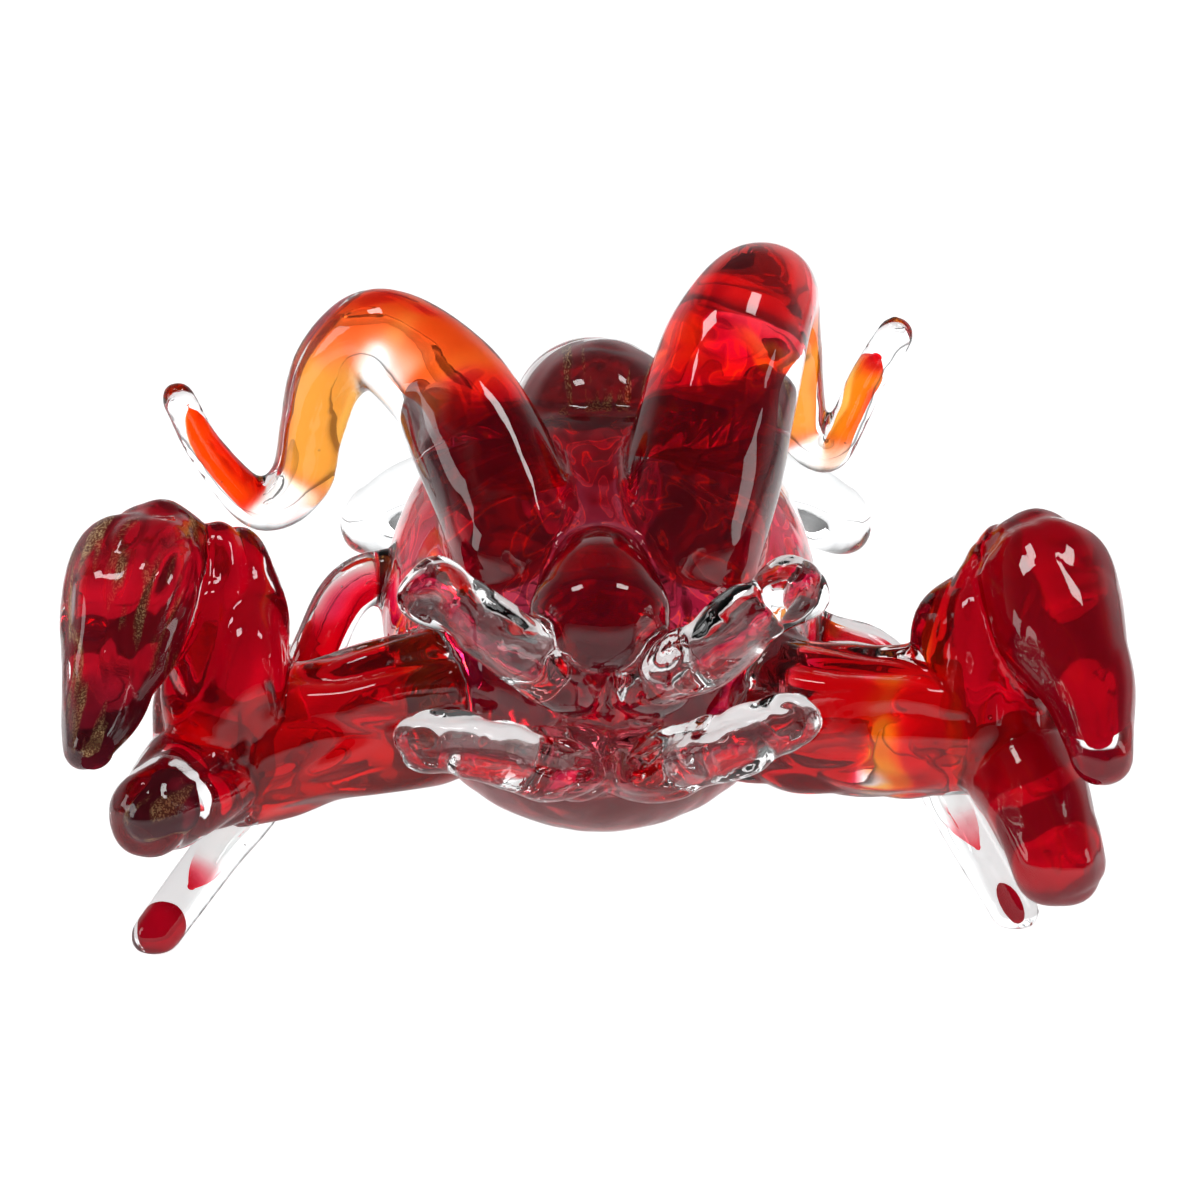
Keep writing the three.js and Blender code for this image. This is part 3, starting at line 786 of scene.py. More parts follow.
@dataclass
class TailFan:
    """The telson and the four clear lobes beside it."""

    telson_length: float = 40 * MM
    telson_half_width: float = 16 * MM
    inner_span: float = 44 * MM
    inner_length: float = 32 * MM
    inner_half_width: float = 13 * MM
    outer_spans: tuple[float, float] = (53.5 * MM, 56.5 * MM)
    outer_length: float = 24 * MM
    outer_rise: float = 25 * MM
    outer_half_width: float = 12.4 * MM
    outer_facing: tuple[float, float, float] = (0, -0.5, 0.85)
    telson_path: Rows = (
        (0, -0.15, 0.14, 0.5, 0.42),
        (0, 0.2, -0.22, 0.8, 0.42),
        (0, 0.6, -0.62, 1, 0.4),
        (0, 1, -0.86, 0.85, 0.36),
    )
    inner_path: Rows = (
        (0.09, -0.12, 0.08, 0.55, 0.45),
        (0.41, 0.25, -0.22, 0.85, 0.45),
        (0.73, 0.63, -0.5, 1, 0.42),
        (1, 1, -0.7, 0.8, 0.38),
    )
    outer_path: Rows = (
        (0.14, -0.42, 0.48, 0.6, 0.5),
        (0.36, 0, 0.92, 0.84, 0.62),
        (0.61, 0.29, 1, 1, 0.72),
        (0.86, 0.63, 0.8, 1.05, 0.74),
        (1, 0.92, 0.6, 0.9, 0.66),
    )

    def gathers(self, root: Vector) -> list[Gather]:
        """Return the five lobes, all from the abdomen's end."""
        made = [
            Gather("telson", root, Vector((0, self.telson_length, root.z)), self.telson_half_width, self.telson_path,
                   flat=UP, node="telson")
        ]
        for side, way, span in (("left", -1, self.outer_spans[0]), ("right", 1, self.outer_spans[1])):
            inner = Vector((way * self.inner_span, self.inner_length, root.z))
            outer = Vector((way * span, self.outer_length, self.outer_rise))
            made.append(
                Gather(f"tail_lobe_inner_{side}", root, inner, self.inner_half_width, self.inner_path, flat=UP,
                       node=f"tail_lobe_inner_{side}")
            )
            made.append(
                Gather(f"tail_lobe_outer_{side}", root, outer, self.outer_half_width, self.outer_path,
                       flat=Vector(self.outer_facing), node=f"tail_lobe_outer_{side}")
            )
        return made


@dataclass
class Antennae:
    """The two cased antennae, which arch up, drop outwards and curl up to thin tips."""

    core_share: float = 0.58
    left_lean: tuple[float, float, float] = (0.4, 0.0, 0.3)
    right_lean: tuple[float, float, float] = (-0.25, 0.0, 0.0)
    left_reach: tuple[float, float, float] = (-73.4 * MM, 38 * MM, 38.4 * MM)
    left_radius: float = 14.7 * MM
    left_root: tuple[float, float, float] = (-0.357, -0.471, 0.651)
    left_path: Rows = (
        (0, 0, 0, 1, 1),
        (0.045, 0.21, 0.23, 1, 1),
        (0.143, 0.475, 0.57, 0.95, 0.95),
        (0.225, 0.66, 0.78, 0.865, 0.865),
        (0.42, 0.84, 1, 0.74, 0.74),
        (0.553, 0.92, 0.81, 0.585, 0.585),
        (0.617, 0.975, 0.445, 0.485, 0.485),
        (0.653, 1, 0.15, 0.46, 0.46),
        (0.76, 1, 0, 0.38, 0.38),
        (0.925, 0.95, 0.335, 0.28, 0.28),
        (1, 0.84, 0.66, 0.26, 0.26),
    )
    right_reach: tuple[float, float, float] = (47.2 * MM, 73 * MM, 43.8 * MM)
    right_radius: float = 16.9 * MM
    right_root: tuple[float, float, float] = (0.379, -0.44, 0.655)
    right_path: Rows = (
        (0, 0, 0, 0.97, 0.97),
        (0.083, 0.137, 0.315, 1, 1),
        (0.16, 0.274, 0.607, 0.965, 0.965),
        (0.237, 0.384, 0.84, 0.905, 0.905),
        (0.335, 0.52, 1, 0.765, 0.765),
        (0.43, 0.767, 0.927, 0.58, 0.58),
        (0.508, 0.918, 0.644, 0.43, 0.43),
        (0.551, 0.973, 0.34, 0.36, 0.36),
        (0.585, 1, 0.14, 0.32, 0.32),
        (0.69, 1, 0.055, 0.28, 0.28),
        (0.8, 0.986, 0.25, 0.25, 0.25),
        (0.877, 0.973, 0.452, 0.25, 0.25),
        (1, 0.945, 0.685, 0.25, 0.25),
    )

    def gathers(self, thorax: Thorax) -> list[Gather]:
        """Return the left and the right antenna."""
        left = Gather(
            "antenna_left",
            thorax.point(*self.left_root),
            Vector(self.left_reach),
            self.left_radius,
            self.left_path,
            core_share=self.core_share,
            lean=self.left_lean,
            base=Tint.GARNET,
            patches=(
                Patch(0.37, 0.135, tint=Tint.FLAME),
                Patch(0.34, 0.13, Facing.TOP, 0.12, Tint.SCARLET),
                Patch(0.42, 0.1, Facing.BELOW, 0.8, Tint.CLEAR),
                Patch(0.2, 0.12, Facing.LEFT, 0.2, Tint.CLEAR),
                Patch(0.62, 0.11, tint=Tint.ORANGE),
                Patch(0.62, 0.14, Facing.FRONT, 0.8, Tint.PEACH),
                Patch(0.58, 0.2, Facing.RIGHT, 0.2, Tint.CLEAR),
                Patch(0.77, 0.04, tint=Tint.CLEAR),
                Patch(0.92, 0.1, tint=Tint.FLAME),
                Patch(0.86, 0.07, Facing.RIGHT, 0.6, Tint.SCARLET),
                Patch(0.9, 0.14, Facing.LEFT, 0.12, Tint.CLEAR),
            ),
            slot=Slot.ORANGE,
            tapers=(0.02, 0.05),
            core_from=0.08,
            core_to=0.98,
        )
        right = Gather(
            "antenna_right",
            thorax.point(*self.right_root),
            Vector(self.right_reach),
            self.right_radius,
            self.right_path,
            core_share=self.core_share,
            lean=self.right_lean,
            base=Tint.GARNET,
            patches=(
                Patch(0.215, 0.034, Facing.LEFT, 0.6, Tint.FLAME),
                Patch(0.215, 0.034, Facing.BACK, 0.6, Tint.FLAME),
                Patch(0.25, 0.018, Facing.RIGHT, 0.6, Tint.FLAME),
                Patch(0.26, 0.01, Facing.RIGHT, 0.4, Tint.ORANGE),
                Patch(0.35, 0.07, tint=Tint.CERISE),
                Patch(0.56, 0.11, tint=Tint.ORANGE),
                Patch(0.56, 0.12, Facing.FRONT, 0.7, Tint.PEACH),
                Patch(0.73, 0.05, tint=Tint.CLEAR),
                Patch(0.87, 0.09, tint=Tint.ORANGE),
                Patch(0.86, 0.05, Facing.RIGHT, 0.6, Tint.FLAME),
                Patch(0.88, 0.12, Facing.LEFT, 0.2, Tint.CLEAR),
            ),
            slot=Slot.RED,
            tapers=(0.02, 0.05),
            core_from=0.08,
            core_to=0.96,
        )
        return [left, right]


@dataclass
class Rostrum:
    """The blunt snout that overhangs the mouth between the antennae."""

    reach: float = 32 * MM
    rise: float = 6 * MM
    radius: float = 16 * MM
    core_share: float = 0.66
    root: tuple[float, float, float] = (0, -0.56, 0.533)
    path: Rows = (
        (0, 0, 0, 0.8, 0.8),
        (0, 0.44, 1, 0.62, 0.62),
        (0, 0.75, 0.83, 0.8, 0.7),
        (0, 1, 0.42, 0.92, 0.68),
    )

    def gathers(self, thorax: Thorax) -> list[Gather]:
        """Return the rostrum as one cased gather."""
        return [
            Gather("rostrum", thorax.point(*self.root), Vector((0, -self.reach, self.rise)), self.radius, self.path,
                   core_share=self.core_share, flat=UP, base=Tint.WINE, slot=Slot.DARK, core_from=0.1, core_to=0.97)
        ]


@dataclass
class Feelers:
    """Four lumpy clear feelers round the mouth."""

    span: float = 38 * MM
    reach: float = 34 * MM
    upper_rise: float = 34 * MM
    lower_rise: float = 12.6 * MM
    radius: float = 8 * MM
    relief: float = 1.5 * MM
    roots: tuple[tuple[float, float, float], ...] = (
        (0, -0.816, 0.086),
        (0.085, -0.816, 0.086),
        (0, -0.864, -0.165),
        (0.043, -0.864, -0.165),
    )
    upper_left_path: Rows = (
        (0, 0, 0, 1, 1),
        (0.055, 0.29, 0.165, 1, 1),
        (0.32, 0.765, 0.456, 0.98, 0.92),
        (0.635, 0.94, 0.78, 0.92, 0.84),
        (0.9, 0.94, 0.965, 0.84, 0.8),
    )
    upper_right_path: Rows = (
        (0, 0, 0, 1, 1),
        (0.06, 0.29, 0.165, 1, 1),
        (0.32, 0.82, 0.47, 0.98, 0.96),
        (0.61, 1, 0.747, 0.96, 0.88),
        (0.925, 0.94, 0.965, 0.88, 0.82),
    )
    lower_left_path: Rows = (
        (0, 0, 0, 1, 1),
        (0.215, 0.62, 0.33, 1, 1),
        (0.64, 1, 0.92, 0.94, 0.88),
        (0.93, 0.97, 1.03, 0.84, 0.8),
    )
    lower_right_path: Rows = (
        (0, 0, 0, 1, 1),
        (0.27, 0.62, 0.33, 1, 1),
        (0.663, 1, 0.97, 0.94, 0.86),
        (0.955, 0.97, 1.33, 0.84, 0.78),
    )

    def gathers(self, thorax: Thorax) -> list[Gather]:
        """Return the four feelers, each pinched where the jacks held it."""
        table = (
            ("feeler_upper_left", -1, self.upper_rise, self.upper_left_path),
            ("feeler_upper_right", 1, self.upper_rise, self.upper_right_path),
            ("feeler_lower_left", -1, self.lower_rise, self.lower_left_path),
            ("feeler_lower_right", 1, self.lower_rise, self.lower_right_path),
        )
        made = []
        for (name, way, rise, path), root in zip(table, self.roots):
            made.append(
                Gather(name, thorax.point(*root), Vector((way * self.span, -self.reach, rise)), self.radius, path,
                       marks=self.pinches(way), relief=self.relief, node=name)
            )
        return made

    def pinches(self, way: int) -> tuple[Patch, ...]:
        """Return the tool marks along a feeler that points to that side."""
        outer = Facing.LEFT if way < 0 else Facing.RIGHT
        return (
            Patch(0.5, 0.05, height=-0.5 * MM),
            Patch(0.64, 0.04, Facing.TOP, 0.5, height=-0.9 * MM),
            Patch(0.74, 0.05, Facing.FRONT, 0.4, height=0.9 * MM),
            Patch(0.82, 0.03, Facing.BELOW, 0.6, height=-0.9 * MM),
            Patch(0.88, 0.025, height=-0.6 * MM),
            Patch(0.99, 0.06, outer, 0.12, height=-1.8 * MM),
        )


@dataclass
class Claws:
    """Both arms with their palms, thumbs and fingers."""

    arm_span: float = 52 * MM
    arm_reach: float = 13 * MM
    arm_drop: float = 11.5 * MM
    arm_radius: float = 16 * MM
    claw_span: float = 28 * MM
    claw_reach: float = 34 * MM
    claw_height: float = 30 * MM
    palm_radius: float = 16 * MM
    thumb_radius: float = 14 * MM
    finger_radius: float = 12 * MM
    core_share: float = 0.74
    bulb_share: float = 0.4
    relief: float = 2.2 * MM
    palm_relief_shares: tuple[float, float] = (1.0, 0.7)
    finger_relief_shares: tuple[float, float] = (0.6, 0.4)
    thumb_relief_shares: tuple[float, float] = (0.9, 0.25)
    root: tuple[float, float, float] = (0.51, -0.513, -0.02)
    arm_left_patches: tuple[Patch, ...] = (
        Patch(0.6, 0.35, Facing.BELOW, 0.7, Tint.SCARLET),
        Patch(0.3, 0.09, Facing.TOP, 0.5, Tint.FLAME),
        Patch(0.34, 0.03, Facing.FRONT, 0.2, Tint.FLAME),
    )
    arm_right_patches: tuple[Patch, ...] = (
        Patch(0.6, 0.3, Facing.BACK, 0.7, Tint.SCARLET),
        Patch(0.6, 0.06, Facing.BELOW, 0.8, Tint.ORANGE),
        Patch(0.6, 0.06, Facing.FRONT, 0.45, Tint.FLAME),
        Patch(0.61, 0.03, Facing.FRONT, 0.2, Tint.ORANGE),
        Patch(0.55, 0.04, Facing.BELOW, 0.35, Tint.CLEAR),
        Patch(0.93, 0.04, Facing.FRONT, 0.6, Tint.FLAME),
        Patch(0.25, 0.08, Facing.TOP, 0.6, Tint.CLEAR),
    )
    palm_right_seam: tuple[Patch, ...] = (
        Patch(0.6, 0.35, Facing.LEFT, 0.3, Tint.FLAME),
        Patch(0.55, 0.2, Facing.LEFT, 0.1, Tint.ORANGE),
    )
    dimple: tuple[Patch, ...] = (Patch(1.0, 0.08, Facing.FRONT, 0.06, height=-2.0 * MM),)
    arm_left_path: Rows = (
        (0, 0, 0, 1.05, 1.05),
        (0.19, 0.46, -0.32, 1.05, 1.05),
        (0.51, 0.85, -0.62, 1, 0.98),
        (0.84, 1, -0.95, 1, 1),
        (1, 1.05, -1.1, 0.95, 0.95),
    )
    arm_right_path: Rows = (
        (0, 0, 0, 1.05, 1.05),
        (0.27, 0.46, -0.5, 1.05, 1.05),
        (0.59, 0.85, -0.6, 1.02, 1),
        (0.86, 1, -0.55, 1, 1),
        (1.03, 1.05, -0.5, 0.95, 0.95),
    )
    palm_left_path: Rows = (
        (0.13, -0.38, 1.22, 0.62, 0.6),
        (0.12, -0.18, 0.83, 0.84, 0.84),
        (0.06, 0.03, 0.36, 0.97, 0.95),
        (0.13, 0.13, -0.02, 0.85, 0.85),
    )
    palm_right_path: Rows = (
        (0.26, -0.37, 0.99, 0.56, 0.58),
        (0.15, -0.14, 0.53, 0.96, 0.92),
        (0.14, 0.04, 0.08, 0.91, 0.91),
        (0.28, 0.14, -0.22, 0.78, 0.78),
    )
    finger_left_path: Rows = (
        (0, -0.15, 0.09, 0.75, 0.75),
        (0.15, 0.15, -0.04, 1.04, 1.02),
        (0.39, 0.5, -0.14, 0.92, 0.92),
        (0.56, 0.79, -0.17, 0.78, 0.78),
    )
    finger_right_path: Rows = (
        (0.1, -0.12, -0.08, 0.75, 0.75),
        (0.32, 0.16, -0.27, 1, 1),
        (0.475, 0.54, -0.46, 0.92, 0.92),
        (0.6, 0.8, -0.74, 0.84, 0.84),
    )
    thumb_left_path: Rows = (
        (0.62, -0.28, 1.34, 0.84, 0.8),
        (0.7, -0.1, 1.27, 1, 0.94),
        (0.77, 0.26, 1.06, 0.96, 0.88),
        (0.86, 0.62, 0.63, 0.64, 0.62),
        (0.97, 0.97, 0.37, 0.42, 0.42),
    )
    thumb_right_path: Rows = (
        (0.48, -0.26, 1.05, 0.82, 0.8),
        (0.54, -0.1, 0.98, 1.06, 1),
        (0.64, 0.27, 0.73, 0.98, 0.88),
        (0.81, 0.63, 0.41, 0.7, 0.66),
        (0.875, 0.98, 0.09, 0.48, 0.48),
    )

    def gathers(self, thorax: Thorax) -> list[Gather]:
        """Return the arm, palm, finger and thumb of each side."""
        return self.side(thorax, "left", -1, self.arm_left_path, self.palm_left_path, self.finger_left_path,
                         self.thumb_left_path) + self.side(
            thorax, "right", 1, self.arm_right_path, self.palm_right_path, self.finger_right_path,
            self.thumb_right_path)

    def side(self, thorax: Thorax, side: str, way: int, arm_path: Rows, palm_path: Rows, finger_path: Rows,
             thumb_path: Rows) -> list[Gather]:
        """Return one side's four gathers."""
        across, along, up = self.root
        arm = Gather(
            f"arm_{side}",
            thorax.point(way * across, along, up),
            Vector((way * self.arm_span, -self.arm_reach, self.arm_drop)),
            self.arm_radius,
            arm_path,
            core_share=self.core_share,
            relief=self.relief,
            tapers=(0.1, 0.02),
            base=Tint.RUBY,
            patches=self.arm_left_patches if way < 0 else self.arm_right_patches,
            core_from=0.15,
            core_to=1.0,
        )
        reach = Vector((way * self.claw_span, -self.claw_reach, self.claw_height))
        claw = (arm.end(), reach)
        pick = 0 if way < 0 else 1
        palm = Gather(f"claw_{side}_palm", *claw, self.palm_radius, palm_path, core_share=self.core_share,
                      relief=self.relief * self.palm_relief_shares[pick], base=Tint.GARNET, core_from=0.0,
                      core_to=1.0, tapers=(0.0, 0.0),
                      patches=(Patch(0.85, 0.15, tint=Tint.RUBY), Patch(0.1, 0.12, Facing.FRONT, 0.5, Tint.WINE))
                      + (() if way < 0 else self.palm_right_seam))
        finger = Gather(f"claw_{side}_finger", *claw, self.finger_radius, finger_path,
                        relief=self.relief * self.finger_relief_shares[pick],
                        core_share=self.core_share, base=Tint.RUBY if way < 0 else Tint.CRIMSON, core_from=0.1,
                        tapers=(0.02, 0.15) if way < 0 else (0.02, 0.0), core_to=0.45 if way < 0 else 1.0,
                        marks=() if way < 0 else self.dimple)
        thumb = Gather(f"claw_{side}_thumb", *claw, self.thumb_radius, thumb_path,
                       relief=self.relief * self.thumb_relief_shares[pick],
                       core_share=self.core_share, base=Tint.MAROON if way < 0 else Tint.CRIMSON, slot=Slot.DARK,
                       core_from=0.0, core_to=1.0 if way < 0 else 0.96, tapers=(0.0, 0.0 if way < 0 else 0.34),
                       patches=(Patch(0.95, 0.2, tint=Tint.SOOT),) if way < 0 else ())
        return [arm, palm, finger, thumb]

    def bulb(self, finger: Gather) -> Gather:
        """Return the dark bulb that floats in the tip of a finger."""
        return replace(finger, core_share=self.bulb_share, core_from=0.88, core_to=1.0, tapers=(0.0, 0.0),
                       base=Tint.SOOT, patches=())


@dataclass
class Legs:
    """Four cased legs, each ground flat where it stands."""

    front_span: float = 57 * MM
    front_reach: float = 30 * MM
    front_radius: float = 5.8 * MM
    rear_span: float = 66 * MM
    rear_sweep: float = 44 * MM
    rear_radius: float = 5.6 * MM
    core_share: float = 0.5
    foot_shares: tuple[float, float] = (0.64, 0.26)
    foot_spans: tuple[tuple[float, float], ...] = ((0.972, 0.985), (0.98, 0.985))
    patches: tuple[Patch, ...] = (
        # painted glint: orange on the top of each leg's core near the hip
        Patch(0.2, 0.08, Facing.TOP, 0.6, Tint.ORANGE),
        Patch(0.3, 0.1, Facing.TOP, 0.8, Tint.CLEAR),
        Patch(0.75, 0.14, tint=Tint.CLEAR),
    )
    front_root: tuple[float, float, float] = (0.81, -0.13, 0.14)
    rear_root: tuple[float, float, float] = (0.64, 0.163, -0.59)
    front_left_path: Rows = (
        (0, 0, 0, 1, 1),
        (0.145, -0.1, 0.04, 1, 1),
        (0.277, -0.03, 0, 1, 1),
        (0.395, 0.167, -0.163, 1, 1),
        (0.593, 0.433, -0.567, 1, 1),
        (0.777, 0.7, -0.736, 0.96, 0.96),
        (0.995, 1, -0.95, 0.9, 0.9),
    )
    front_right_path: Rows = (
        (0, 0, -0.08, 1, 1),
        (0.2, -0.05, -0.16, 1, 1),
        (0.35, 0, -0.19, 1, 1),
        (0.484, 0.167, -0.288, 1, 1),
        (0.62, 0.333, -0.549, 1, 1),
        (0.904, 0.433, -0.95, 0.92, 0.92),
    )
    rear_path: Rows = (
        (0, 0, 0, 1, 1),
        (0.38, 0.36, -0.12, 1, 1),
        (0.76, 0.73, -0.18, 1, 1),
        (0.94, 0.91, -0.6, 0.95, 0.95),
        (1, 1, -0.94, 0.9, 0.9),
    )

    def gathers(self, thorax: Thorax) -> list[Gather]:
        """Return the four legs."""
        table = (
            ("leg_front_left", -1, self.front_root, self.front_span, -self.front_reach, self.front_radius, self.front_left_path),
            ("leg_front_right", 1, self.front_root, self.front_span, -self.front_reach, self.front_radius, self.front_right_path),
            ("leg_rear_left", -1, self.rear_root, self.rear_span, self.rear_sweep, self.rear_radius, self.rear_path),
            ("leg_rear_right", 1, self.rear_root, self.rear_span, self.rear_sweep, self.rear_radius, self.rear_path),
        )
        made = []
        for name, way, (across, along, up), span, reach, radius, path in table:
            hip = thorax.point(way * across, along, up)
            made.append(
                Gather(name, hip, Vector((way * span, reach, hip.z)), radius, path,
                       core_share=self.core_share, base=Tint.RUBY, patches=self.patches,
                       core_from=0.05, core_to=0.9, tapers=(0.1, 0.1))
            )
        return made

    def foot(self, leg: Gather, pick: int) -> Gather:
        """Return the dark red tip inside a leg's foot, 0 for the left one and 1 for the right one."""
        start, stop = self.foot_spans[pick]
        return replace(leg, core_share=self.foot_shares[pick], core_from=start, core_to=stop, tapers=(0.0, 0.0),
                       base=Tint.WINE, patches=())


@dataclass
class Bubbles:
    """Seeds and bubbles caught between the cores and the clear glass."""

    seed: int = 7
    count: int = 70
    smallest: float = 0.12 * MM
    largest: float = 0.55 * MM

    def build(self, gathers: list[Gather]) -> bmesh.types.BMesh:
        """Return the closed skins of all bubbles, scattered in the clear glass of the cased gathers."""
        dice = random.Random(self.seed)
        cased = [gather for gather in gathers if gather.core_share]
        bm = bmesh.new()
        for _ in range(self.count):
            gather = dice.choice(cased)
            share, turn = dice.uniform(0.25, 0.92), dice.uniform(0.0, 2.0 * math.pi)
            size = gather.swell.at(share)
            off = dice.uniform(gather.core_share + 0.06, 0.88)
            ahead = gather.path.ahead(share)
            wide = ahead.orthogonal().normalized()
            out = wide * (math.cos(turn) * size.x) + ahead.cross(wide) * (math.sin(turn) * size.y)
            radius = self.smallest + (self.largest - self.smallest) * dice.random() ** 3
            place = Matrix.Translation(gather.path.at(share) + out * off)
            drawn = Matrix.Scale(dice.uniform(1.0, 1.8), 4, ahead)
            bmesh.ops.create_icosphere(bm, subdivisions=2, radius=radius, matrix=place @ drawn)
        return bm


@dataclass
class FusedSkin:
    """The clear surface that all gathers share where they are fused, parted again by gather."""

    voxel: float = 0.9 * MM
    passes: int = 8
    last_passes: int = 2
    floor_gap: float = 0.15 * MM
    fold_scale: float = 95.0
    swell_scale: float = 55.0
    along_share: float = 0.45
    body_relief: float = 0.3 * MM
    forms: list[tuple[str, str, bmesh.types.BMesh]] = field(default_factory=list)
    reliefs: list[tuple[float, Vector]] = field(default_factory=list)

    def take(self, name: str, node: str, bm: bmesh.types.BMesh, gather: Gather | None = None) -> None:
        """Keep a gather's closed form, the CAD node that its skin stands for, and its relief."""
        self.forms.append((name, node, bm))
        if gather is None:
            self.reliefs.append((self.body_relief, UP))
        else:
            self.reliefs.append((gather.relief, (gather.end() - gather.path.points[0]).normalized()))

    def fold(self, place: Vector, owner: int) -> float:
        """Return how far the tools moved the surface at a place of a form, in folds drawn out along it."""
        depth, along = self.reliefs[owner]
        drawn = place - along * (place.dot(along) * (1.0 - self.along_share))
        lump = 2.0 * abs(noise.noise(drawn * self.fold_scale + Vector((owner, 0.0, 0.0)))) - 0.5
        return depth * (lump + 0.8 * noise.noise(drawn * self.swell_scale))

    def fuse(self) -> tuple[bpy.types.Object, BVHTree, list[int]]:
        """Join the forms and remesh them as one surface.

        Returns:
            The fused object, a search tree of the forms' faces, and each face's form.
        """
        joined = bmesh.new()
        owners: list[int] = []
        for index, (name, _, bm) in enumerate(self.forms):
            cut = bmesh.ops.bisect_plane(
                bm, geom=bm.verts[:] + bm.edges[:] + bm.faces[:], plane_co=(0, 0, self.floor_gap), plane_no=(0, 0, 1),
                clear_inner=True
            )
            rim = [g for g in cut["geom_cut"] if isinstance(g, bmesh.types.BMEdge)]
            if rim:
                bmesh.ops.edgeloop_fill(bm, edges=rim)
            bmesh.ops.triangulate(bm, faces=bm.faces[:])
            form = bpy.data.meshes.new(name)
            bm.to_mesh(form)
            bm.free()
            joined.from_mesh(form)
            owners += [index] * len(form.polygons)
            bpy.data.meshes.remove(form)
        tree = BVHTree.FromBMesh(joined)
        mesh = bpy.data.meshes.new("fused_skin")
        joined.to_mesh(mesh)
        joined.free()
        rough = bpy.data.objects.new("fused_skin", mesh)
        bpy.context.scene.collection.objects.link(rough)
        remesh = rough.modifiers.new("fuse", "REMESH")
        remesh.mode = "VOXEL"
        remesh.voxel_size = self.voxel
        remesh.adaptivity = 0.0
        graph = bpy.context.evaluated_depsgraph_get()
        fused = bpy.data.meshes.new_from_object(rough.evaluated_get(graph))
        rough.modifiers.clear()
        rough.data = fused
        bpy.data.meshes.remove(mesh)
        return rough, tree, owners

    def settle(self, mesh: bpy.types.Mesh, tree: BVHTree, owners: list[int]) -> None:
        """Fold the fused surface, smooth it as the flame does, and keep its normals for the parting."""
        bm = bmesh.new()
        bm.from_mesh(mesh)
        depths = [self.fold(v.co, owners[tree.find_nearest(v.co)[2]]) for v in bm.verts]
        for step in range(self.passes + self.last_passes):
            if step == self.passes:
                bm.normal_update()
                for v, depth in zip(bm.verts, depths):
                    v.co += v.normal * depth
            bmesh.ops.smooth_vert(bm, verts=bm.verts[:], factor=0.5, use_axis_x=True, use_axis_y=True, use_axis_z=True)
        layer = bm.verts.layers.float_vector.new("fused_normal")
        bm.normal_update()
        for v in bm.verts:
            v.co.z = max(v.co.z, self.floor_gap)
            v[layer] = v.normal
        for face in bm.faces:
            face.smooth = True
        bm.to_mesh(mesh)
        bm.free()

    def part(self, bench: Bench) -> list[bpy.types.Object]:
        """Part the fused surface by gather and dress each piece.

        Args:
            bench: where the pieces are put.

        Returns:
            One clear piece for each gather.
        """
        skin, tree, owners = self.fuse()
        self.settle(skin.data, tree, owners)
        skin.data.materials.clear()
        names = list(dict.fromkeys(name for name, _, _ in self.forms))
        for name in names:
            skin.data.materials.append(bpy.data.materials.new("part_" + name))
        for face in skin.data.polygons:
            owner = owners[tree.find_nearest(face.center)[2]]
            face.material_index = names.index(self.forms[owner][0])
        bpy.ops.object.select_all(action="DESELECT")
        bpy.context.view_layer.objects.active = skin
        skin.select_set(True)
        bpy.ops.object.mode_set(mode="EDIT")
        bpy.ops.mesh.select_all(action="SELECT")
        bpy.ops.mesh.separate(type="MATERIAL")
        bpy.ops.object.mode_set(mode="OBJECT")
        pieces = list(bpy.context.selected_objects)
        clear = bench.finish(bench.clear, "clear_glass_fire_polished")
        made = []
        for piece in pieces:
            used = piece.data.materials[piece.data.polygons[0].material_index].name
            name = used.removeprefix("part_")
            node = next(node for form, node, _ in self.forms if form == name)
            normals = [tuple(a.vector) for a in piece.data.attributes["fused_normal"].data]
            piece.data.normals_split_custom_set_from_vertices(normals)
            piece.data.attributes.remove(piece.data.attributes["fused_normal"])
            piece.name = piece.data.name = name + "_skin"
            made.append(bench.dress(piece, clear, Slot.CLEAR, node))
        for name in names:
            bpy.data.materials.remove(bpy.data.materials["part_" + name])
        return made


